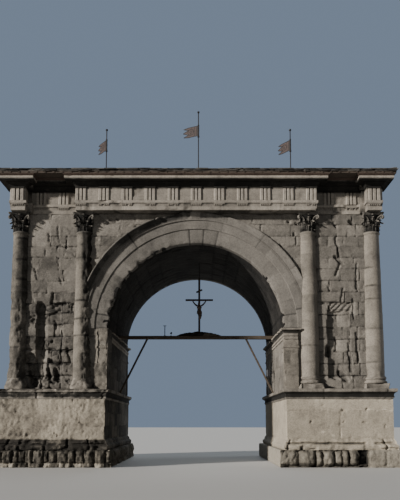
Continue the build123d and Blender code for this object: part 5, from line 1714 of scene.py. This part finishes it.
def limb(points, radii, nu=12, flat=1.0):
    """A tapering limb through points."""
    points = np.array(points, float)
    rings = []
    n = len(points)
    t = np.gradient(points, axis=0)
    t = t / np.linalg.norm(t, axis=1)[:, None]
    side_ = np.cross(t, np.array([0, 1.0, 0.0]))
    side_ = side_ / np.linalg.norm(side_, axis=1)[:, None]
    oth = np.cross(side_, t)
    a = np.arange(nu) / nu * 2 * math.pi
    for k in range(n):
        rings.append(points[k] + radii[k] * (np.cos(a)[:, None] * side_[k] + flat * np.sin(a)[:, None] * oth[k]))
    v_ = np.concatenate(rings)
    return v_, [grid_faces(n, nu, closed=True), np.arange(nu)[::-1][None], (np.arange(nu) + (n - 1) * nu)[None]]


fig = Bag()
X0, Y0 = 0.15, -0.135
parts = [
    ball((X0, Y0 - 0.005, 8.650), (0.140, 0.080, 0.115)),            # chest
    ball((X0, Y0 + 0.000, 8.545), (0.112, 0.068, 0.110)),            # belly
    ball((X0 + 0.004, Y0 + 0.005, 8.430), (0.118, 0.072, 0.085)),    # hips
    ball((X0, Y0 + 0.012, 8.740), (0.148, 0.052, 0.050)),            # shoulders
    ball((X0 - 0.055, Y0 - 0.056, 8.690), (0.060, 0.030, 0.040)),    # chest muscles
    ball((X0 + 0.055, Y0 - 0.056, 8.690), (0.060, 0.030, 0.040)),
    limb([(X0, Y0 + 0.01, 8.74), (X0 - 0.006, Y0 - 0.01, 8.80), (X0 - 0.012, Y0 - 0.02, 8.835)], (0.036, 0.030, 0.030)),
    # head, a little bowed to one side, with long hair and short beard
    ball((X0 - 0.018, Y0 - 0.028, 8.882), (0.054, 0.062, 0.074)),
    ball((X0 - 0.020, Y0 - 0.040, 8.850), (0.042, 0.048, 0.048)),
    ball((X0 - 0.014, Y0 - 0.002, 8.898), (0.061, 0.056, 0.066)),
    ball((X0 + 0.028, Y0 + 0.004, 8.840), (0.024, 0.034, 0.062)),
    ball((X0 - 0.060, Y0 + 0.000, 8.835), (0.022, 0.034, 0.060)),
    ball((X0 - 0.021, Y0 - 0.074, 8.826), (0.026, 0.020, 0.030)),
    limb([(X0 - 0.018, Y0 - 0.086, 8.893), (X0 - 0.018, Y0 - 0.095, 8.878), (X0 - 0.019, Y0 - 0.099, 8.866)], (0.006, 0.009, 0.010), 8),
    ball((X0 - 0.038, Y0 - 0.078, 8.895), (0.015, 0.008, 0.007)),
    ball((X0 + 0.001, Y0 - 0.078, 8.896), (0.015, 0.008, 0.007)),
    ball((X0 - 0.020, Y0 - 0.085, 8.850), (0.015, 0.008, 0.006)),
]
for m_ in (-1, 1):
    # arms raised to the bar
    parts.append(limb([(X0 + m_ * 0.130, Y0 + 0.012, 8.745), (X0 + m_ * 0.185, Y0 + 0.016, 8.790), (X0 + m_ * 0.250, Y0 + 0.022, 8.850), (X0 + m_ * 0.305, Y0 + 0.030, 8.915), (X0 + m_ * 0.355, Y0 + 0.042, 8.995), (X0 + m_ * 0.382, Y0 + 0.050, 9.045)], (0.052, 0.050, 0.042, 0.038, 0.033, 0.024)))
    parts.append(ball((X0 + m_ * 0.392, Y0 + 0.056, 9.075), (0.026, 0.016, 0.034)))
    for f_ in range(4):
        parts.append(limb([(X0 + m_ * (0.380 + 0.010 * f_), Y0 + 0.048, 9.092), (X0 + m_ * (0.384 + 0.012 * f_), Y0 + 0.040, 9.118), (X0 + m_ * (0.386 + 0.012 * f_), Y0 + 0.036, 9.130)], (0.007, 0.006, 0.005), 6))
# legs, knees bent a little, feet crossed
LEFT_LEG = [(X0 - 0.055, Y0 + 0.005, 8.40), (X0 - 0.045, Y0 - 0.025, 8.29), (X0 - 0.010, Y0 - 0.065, 8.175), (X0 + 0.000, Y0 - 0.042, 8.06), (X0 - 0.004, Y0 - 0.012, 7.945), (X0 - 0.006, Y0 - 0.004, 7.895)]
RIGHT_LEG = [(X0 + 0.060, Y0 + 0.005, 8.40), (X0 + 0.082, Y0 - 0.020, 8.29), (X0 + 0.098, Y0 - 0.052, 8.18), (X0 + 0.066, Y0 - 0.022, 8.06), (X0 + 0.026, Y0 + 0.012, 7.945), (X0 + 0.010, Y0 + 0.020, 7.900)]
parts.append(limb(LEFT_LEG, (0.072, 0.066, 0.052, 0.048, 0.031, 0.026)))
parts.append(limb(RIGHT_LEG, (0.072, 0.066, 0.052, 0.048, 0.031, 0.026)))
parts.append(limb([(X0 - 0.006, Y0 - 0.002, 7.905), (X0 - 0.004, Y0 - 0.030, 7.872), (X0 - 0.002, Y0 - 0.055, 7.848)], (0.027, 0.026, 0.016), 10))
parts.append(limb([(X0 + 0.010, Y0 + 0.020, 7.910), (X0 + 0.004, Y0 + 0.002, 7.872), (X0 + 0.002, Y0 - 0.020, 7.846)], (0.027, 0.025, 0.016), 10))
for v_, f_ in parts:
    fig.add(v_, f_, 0.5)
# loincloth: a wrapped band with hanging folds
n1, n2 = 40, 12
av = np.arange(n1) / n1 * 2 * math.pi
cl = []
for k in range(n2):
    tt = k / (n2 - 1)
    zc = 8.475 - 0.185 * tt - 0.055 * tt * np.maximum(0, np.cos(av + 0.9)) ** 2
    fold = 0.010 * np.sin(av * 9 + 1.7 * tt * 3) * (0.3 + tt) + 0.006 * np.sin(av * 17 + 2.1 + 5 * tt)
    rx, ry = 0.124 + 0.014 * tt, 0.080 + 0.018 * tt
    cl.append(np.stack([X0 + (rx + fold) * np.cos(av), Y0 - 0.004 - 0.020 * tt + (ry + fold) * np.sin(av), zc], 1))
fig.add(np.concatenate(cl), [grid_faces(n2, n1, closed=True)[:, ::-1], np.arange(n1)[None], (np.arange(n1) + (n2 - 1) * n1)[::-1][None]], 0.6)
fv, ff = limb([(X0 + 0.100, Y0 - 0.03, 8.455), (X0 + 0.122, Y0 - 0.04, 8.40), (X0 + 0.128, Y0 - 0.035, 8.32), (X0 + 0.120, Y0 - 0.03, 8.23)], (0.020, 0.028, 0.032, 0.020), 12)
fig.add(fv, ff, 0.6)
ob = fig.object("hanging_figure", 60)
mod = ob.modifiers.new("remesh", "REMESH")
mod.mode = "VOXEL"
mod.voxel_size = 0.0068
mod2 = ob.modifiers.new("smooth", "SMOOTH")
mod2.factor = 0.5
mod2.iterations = 3
bpy.context.view_layer.update()
me2 = bpy.data.meshes.new_from_object(ob.evaluated_get(bpy.context.evaluated_depsgraph_get()))
ob.modifiers.clear()
ob.data = me2
me2.polygons.foreach_set("use_smooth", np.ones(len(me2.polygons), bool))
place(ob, M_FIGURE, nodes=("corpus",))

# small lamps on the beam, and a floodlight on the inner face of the right pier


def turned(c, axis, prof_, around=20):
    """A turned piece about any axis through c; prof_ is (radius, distance along the axis)."""
    v_, f_, t_ = lathe(0.0, 0.0, prof_, around, None)
    m_ = np.array(Vector((0, 0, 1)).rotation_difference(Vector(axis).normalized()).to_matrix())
    return v_ @ m_.T + np.array(c), f_


M_GLASS = simple_material("lamp_lens", (0.10, 0.105, 0.11), (0.20, 0.205, 0.21), 20, 0.25, 0.0, 0.05, spec=0.5)
metal, lens = Bag(), Bag()
bt = 7.03
# rod with a cross head
v_, f_ = turned((-1.81, 0.0, bt), (0, 0, 1), [(0.055, 0.0), (0.055, 0.012), (0.040, 0.018), (0.026, 0.030), (0.022, 0.060), (0.021, 0.530), (0.026, 0.545), (0.026, 0.562), (0.018, 0.566)])
metal.add(v_, f_, 0.4)
v_, f_ = turned((-1.895, 0.0, bt + 0.583), (1, 0, 0), [(0.014, 0.0), (0.021, 0.004), (0.021, 0.040), (0.018, 0.044), (0.018, 0.126), (0.021, 0.130), (0.021, 0.166), (0.014, 0.170)])
lens.add(v_, f_, 0.4)
# spot lamp: stem, yoke and a finned can that points up at the figure
v_, f_ = turned((-1.45, 0.0, bt), (0, 0, 1), [(0.045, 0.0), (0.045, 0.010), (0.018, 0.016), (0.014, 0.090), (0.022, 0.094), (0.022, 0.104), (0.010, 0.108)])
metal.add(v_, f_, 0.4)
for sy in (-1, 1):
    y_ = -0.005 + sy * 0.056
    v_, f_ = box_mesh((-1.464, y_ - 0.004, bt + 0.098), (-1.436, y_ + 0.004, bt + 0.185), bevel=0.002)
    metal.add(v_, f_, 0.4)
v_, f_ = box_mesh((-1.464, -0.065, bt + 0.094), (-1.436, 0.055, bt + 0.102), bevel=0.002)
metal.add(v_, f_, 0.4)
ax3 = np.array([0.72, 0.0, 0.52])
ax3 = ax3 / np.linalg.norm(ax3)
c3 = np.array([-1.452, -0.005, bt + 0.160])
v_, f_ = turned(c3 - ax3 * 0.062, ax3, [(0.012, 0.0), (0.030, 0.002), (0.030, 0.012), (0.026, 0.014), (0.026, 0.018), (0.034, 0.020), (0.034, 0.026), (0.028, 0.028), (0.028, 0.034), (0.040, 0.040), (0.046, 0.060), (0.048, 0.100), (0.052, 0.102), (0.052, 0.116), (0.047, 0.118), (0.045, 0.108)], 24)
metal.add(v_, f_, 0.4)
v_, f_ = turned(c3 + ax3 * 0.044, ax3, [(0.044, 0.0), (0.044, 0.004), (0.036, 0.008), (0.018, 0.010)], 24)
lens.add(v_, f_, 0.4)
# floodlight: housing with fins behind, a framed lens that looks up and across, and an arm to the wall
v_, f_ = box_mesh((4.02, -0.140, 4.72), (4.15, 0.140, 5.10), bevel=0.014)
metal.add(v_, f_, 0.4)
v_, f_ = box_mesh((3.985, -0.150, 4.69), (4.03, 0.150, 5.13), bevel=0.010)
metal.add(v_, f_, 0.4)
v_, f_ = box_mesh((3.972, -0.122, 4.735), (3.990, 0.122, 5.085), bevel=0.006)
lens.add(v_, f_, 0.4)
for k in range(9):
    z_ = 4.755 + 0.038 * k
    v_, f_ = box_mesh((4.145, -0.120, z_), (4.195, 0.120, z_ + 0.010), bevel=0.003)
    metal.add(v_, f_, 0.4)
for sy in (-1, 1):
    y_ = sy * 0.146
    v_, f_ = box_mesh((4.060, y_ - 0.004, 4.88), (4.250, y_ + 0.004, 4.94), bevel=0.003)
    metal.add(v_, f_, 0.4)
v_, f_ = box_mesh((4.235, -0.150, 4.88), (4.250, 0.150, 4.94), bevel=0.004)
metal.add(v_, f_, 0.4)
v_, f_ = turned((4.245, 0.0, 4.91), (1, 0, 0), [(0.020, 0.0), (0.022, 0.006), (0.020, 0.012), (0.020, 0.135), (0.048, 0.138), (0.048, 0.158), (0.020, 0.159)])
metal.add(v_, f_, 0.4)
place(metal.object("lamp_bodies", 35), M_LAMP, nodes=("lamps",))
place(lens.object("lamp_lenses", 35), M_GLASS)

for nm in ("left", "middle", "right"):
    o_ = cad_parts["pole_" + nm]
    o_.data.materials.clear()
    o_.data.materials.append(M_IRON)

# =====================================================================================
# banner vanes: a rusted sheet in a dark frame of flat bars, on a banded sleeve
# =====================================================================================
VANE_LEN, VANE_TALL = 1.070, 0.690
TAIL = [(0.680, 0.020), (1.070, 0.084), (0.720, 0.204), (1.070, 0.347), (0.720, 0.492), (1.070, 0.607), (0.680, 0.670)]


def flat_bar(a, b, half, thick, lap=0.0):
    """A flat bar between two points of the banner's plane, with chamfered edges."""
    a, b = np.array(a, float), np.array(b, float)
    d_ = (b - a) / np.linalg.norm(b - a)
    a, b = a - d_ * lap, b + d_ * lap
    w_ = np.array([-d_[1], d_[0]]) * half
    c_ = 0.35 * half
    rings_ = []
    for q in (a, b):
        n_ = w_ / half
        sec = [(-half + 0.0, 0.0), (-half + c_ * 0.5, -thick), (half - c_ * 0.5, -thick), (half, 0.0), (half - c_ * 0.5, thick), (-half + c_ * 0.5, thick)]
        rings_.append([(q[0] + n_[0] * e, y_, q[1] + n_[1] * e) for e, y_ in sec])
    v_ = np.array(rings_[0] + rings_[1])
    return v_, [grid_faces(2, 6, closed=True), np.arange(6)[::-1][None], (np.arange(6) + 6)[None]]


def inset(points, gap):
    """The closed outline moved inwards by gap."""
    pts_ = np.array(points, float)
    e1 = np.roll(pts_, -1, 0) - pts_
    e0 = pts_ - np.roll(pts_, 1, 0)
    n1_ = np.stack([-e1[:, 1], e1[:, 0]], 1) / np.linalg.norm(e1, axis=1)[:, None]
    n0_ = np.stack([-e0[:, 1], e0[:, 0]], 1) / np.linalg.norm(e0, axis=1)[:, None]
    m_ = (n0_ + n1_) / (1 + (n0_ * n1_).sum(1))[:, None]
    return pts_ + m_ * gap


for nm, (vx, vz, turn) in {"left": (-5.30, 18.02, 52), "middle": (0.10, 18.90, 25), "right": (5.50, 18.02, 52)}.items():
    ca, sa = math.cos(math.radians(turn)), math.sin(math.radians(turn))

    def to_world(v_, vx=vx, vz=vz, ca=ca, sa=sa):
        """From the banner's own (length, thickness, height) to the arch."""
        v_ = np.asarray(v_, float)
        return np.stack([vx - v_[:, 0] * ca + v_[:, 1] * sa, v_[:, 0] * sa + v_[:, 1] * ca, vz + v_[:, 2]], 1)

    dark_, plate_ = Bag(), Bag()
    # sleeve with three bands
    prof_ = [(0.035, 0.002), (0.050, 0.002), (0.052, 0.010), (0.052, 0.060), (0.048, 0.066), (0.046, 0.070), (0.046, 0.305), (0.048, 0.312), (0.052, 0.318), (0.052, 0.372), (0.048, 0.378), (0.046, 0.384),
             (0.046, 0.620), (0.048, 0.624), (0.052, 0.630), (0.052, 0.680), (0.050, 0.688), (0.035, 0.688)]
    lv, lf, lt = lathe(0.0, 0.0, prof_, 24, None, cap=False)
    K_ = len(prof_)
    wrap = np.stack([np.arange(24) + (K_ - 1) * 24, np.roll(np.arange(24), -1) + (K_ - 1) * 24, np.roll(np.arange(24), -1), np.arange(24)], 1)
    dark_.add(to_world(lv), [lf[0][:, ::-1], wrap[:, ::-1]], 0.4)
    # the frame follows the outline and its tongues
    out_ = [(0.045, 0.020)] + TAIL + [(0.045, 0.670)]
    mid_ = inset(out_, 0.028)
    for k in range(len(mid_)):
        a_, b_ = mid_[k], mid_[(k + 1) % len(mid_)]
        bv, bf = flat_bar(a_, b_, 0.027, 0.0066)
        dark_.add(to_world(bv), bf, 0.4)
    for u_ in (0.145, 0.265):
        bv, bf = flat_bar((u_, 0.03), (u_, 0.66), 0.024, 0.0060)
        dark_.add(to_world(bv), bf, 0.4)
    # a riveted ring and a small lozenge in the middle of the sheet
    cu, cz, rr_ = 0.505, 0.345, 0.180
    nr = 28
    for k in range(nr):
        a0_, a1_ = 2 * math.pi * k / nr, 2 * math.pi * (k + 1) / nr
        bv, bf = flat_bar((cu + rr_ * math.cos(a0_), cz + rr_ * math.sin(a0_)), (cu + rr_ * math.cos(a1_), cz + rr_ * math.sin(a1_)), 0.024, 0.0060, 0.004)
        dark_.add(to_world(bv), bf, 0.4)
    loz = [(cu - 0.075, cz), (cu, cz - 0.095), (cu + 0.075, cz), (cu, cz + 0.095)]
    for k in range(4):
        bv, bf = flat_bar(loz[k], loz[(k + 1) % 4], 0.022, 0.0055, 0.006)
        dark_.add(to_world(bv), bf, 0.4)
    for k in range(14):
        u_, z_ = (0.09 + 0.09 * k, 0.655) if k < 7 else (0.09 + 0.09 * (k - 7), 0.036)
        hv, hf, ht = lathe(u_, 0.0, [(0.0075, 0.0), (0.006, 0.003), (0.002, 0.0045)], 8, None)
        for sd in (-1, 1):
            w3 = np.stack([hv[:, 0], sd * (0.0058 + hv[:, 2] * 0.5), z_ + hv[:, 1]], 1)
            dark_.add(to_world(w3), [q[:, ::-1] if sd < 0 else q for q in hf], 0.4)
    # the sheet itself, a slightly beaten plate
    nu_, nz_ = 26, 27
    zz_ = np.linspace(0.030, 0.660, nz_)
    ends = np.interp(zz_, [0.030, 0.084, 0.204, 0.347, 0.492, 0.607, 0.660], [0.676, 1.020, 0.700, 1.020, 0.700, 1.020, 0.676])
    U_ = np.linspace(0, 1, nu_)[None] * (ends[:, None] - 0.045) + 0.045
    Z_ = np.broadcast_to(zz_[:, None], U_.shape)
    q3 = np.stack([U_, 0 * U_, Z_], -1).reshape(-1, 3)
    dent = 0.0016 * fbm(q3 * 6.0 + vx, 2, 951)
    tone_ = 0.55 + 0.5 * fbm(q3 * np.array([2.4, 1.0, 2.4]) + vx, 3, 952)
    fr_ = q3 + np.stack([0 * dent, -0.003 + dent, 0 * dent], 1)
    bk_ = q3 + np.stack([0 * dent, 0.003 + dent, 0 * dent], 1)
    n_all = nu_ * nz_
    g_ = grid_faces(nz_, nu_)
    rim = np.concatenate([np.arange(nu_), np.arange(1, nz_) * nu_ + nu_ - 1, (nz_ - 1) * nu_ + np.arange(nu_ - 2, -1, -1), np.arange(nz_ - 2, 0, -1) * nu_])
    rim2 = np.roll(rim, -1)
    plate_.add(to_world(np.concatenate([fr_, bk_])), [g_[:, ::-1], g_ + n_all, np.stack([rim, rim2, rim2 + n_all, rim + n_all], 1)], np.concatenate([tone_, tone_]))
    place(dark_.object("banner_frame_" + nm, 35), M_IRON, body="vane_" + nm, nodes=("vane_" + nm,))
    place(plate_.object("banner_sheet_" + nm, 35), M_RUST, body="vane_" + nm, nodes=("vane_" + nm,))

# =====================================================================================
# floor, light, camera
# =====================================================================================
fm, fnt, fsh = new_material("studio_floor")
fsh.inputs["Base Color"].default_value = (0.52, 0.51, 0.49, 1)
fsh.inputs["Roughness"].default_value = 0.9
bpy.ops.mesh.primitive_plane_add(size=400, location=(0, 60, 0))
floor = bpy.context.active_object
floor.name = "floor"
floor.data.materials.append(fm)

world = bpy.data.worlds.new("studio")
bpy.context.scene.world = world
world.use_nodes = True
wn = world.node_tree.nodes
wn["Background"].inputs[0].default_value = (0.60, 0.72, 0.90, 1)
wn["Background"].inputs[1].default_value = 0.078
wl = world.node_tree.links
seen = wn.new("ShaderNodeBackground")
seen.inputs[0].default_value = (0.17, 0.22, 0.30, 1)
seen.inputs[1].default_value = 1.0
path = wn.new("ShaderNodeLightPath")
both = wn.new("ShaderNodeMixShader")
wl.new(path.outputs["Is Camera Ray"], both.inputs[0])
wl.new(wn["Background"].outputs[0], both.inputs[1])
wl.new(seen.outputs[0], both.inputs[2])
wl.new(both.outputs[0], wn["World Output"].inputs[0])

# two weak lights for the shaded side and the back
for nm, az_, el_, en_ in (("side_fill", 104, 22, 0.9), ("back_fill", 180, 38, 0.9)):
    fl = bpy.data.lights.new(nm, "SUN")
    fl.energy = en_
    fl.angle = math.radians(30.0)
    fl.color = (0.86, 0.93, 1.0)
    fo = bpy.data.objects.new(nm, fl)
    bpy.context.scene.collection.objects.link(fo)
    toward = Vector((math.sin(math.radians(az_)) * math.cos(math.radians(el_)), -math.cos(math.radians(az_)) * math.cos(math.radians(el_)), math.sin(math.radians(el_))))
    fo.rotation_euler = toward.to_track_quat("Z", "Y").to_euler()
sun = bpy.data.lights.new("key", "SUN")
sun.energy = 6.6
sun.angle = math.radians(4.0)
sun.color = (1.0, 0.955, 0.89)
so = bpy.data.objects.new("key", sun)
bpy.context.scene.collection.objects.link(so)
az, el = math.radians(60), math.radians(14)
src = Vector((-math.sin(az) * math.cos(el), -math.cos(az) * math.cos(el), math.sin(el)))
so.rotation_mode = "QUATERNION"
so.rotation_quaternion = (-src).to_track_quat("-Z", "Y")

cam = bpy.data.cameras.new("camera")
co_ = bpy.data.objects.new("camera", cam)
bpy.context.scene.collection.objects.link(co_)
bpy.context.scene.camera = co_
cam.sensor_width = 36.0
cam.sensor_fit = "AUTO"
FPX = 609.6
cam.lens = 36.0 * FPX / 500.0
SHIFT = 0.22
pitch = 0.1031
cam.shift_y = SHIFT
co_.location = (0.192, -34.355, 2.10)
co_.rotation_mode = "XYZ"
co_.rotation_euler = (math.pi / 2 + pitch, 0.0, 0.0)
cam.clip_end = 1000
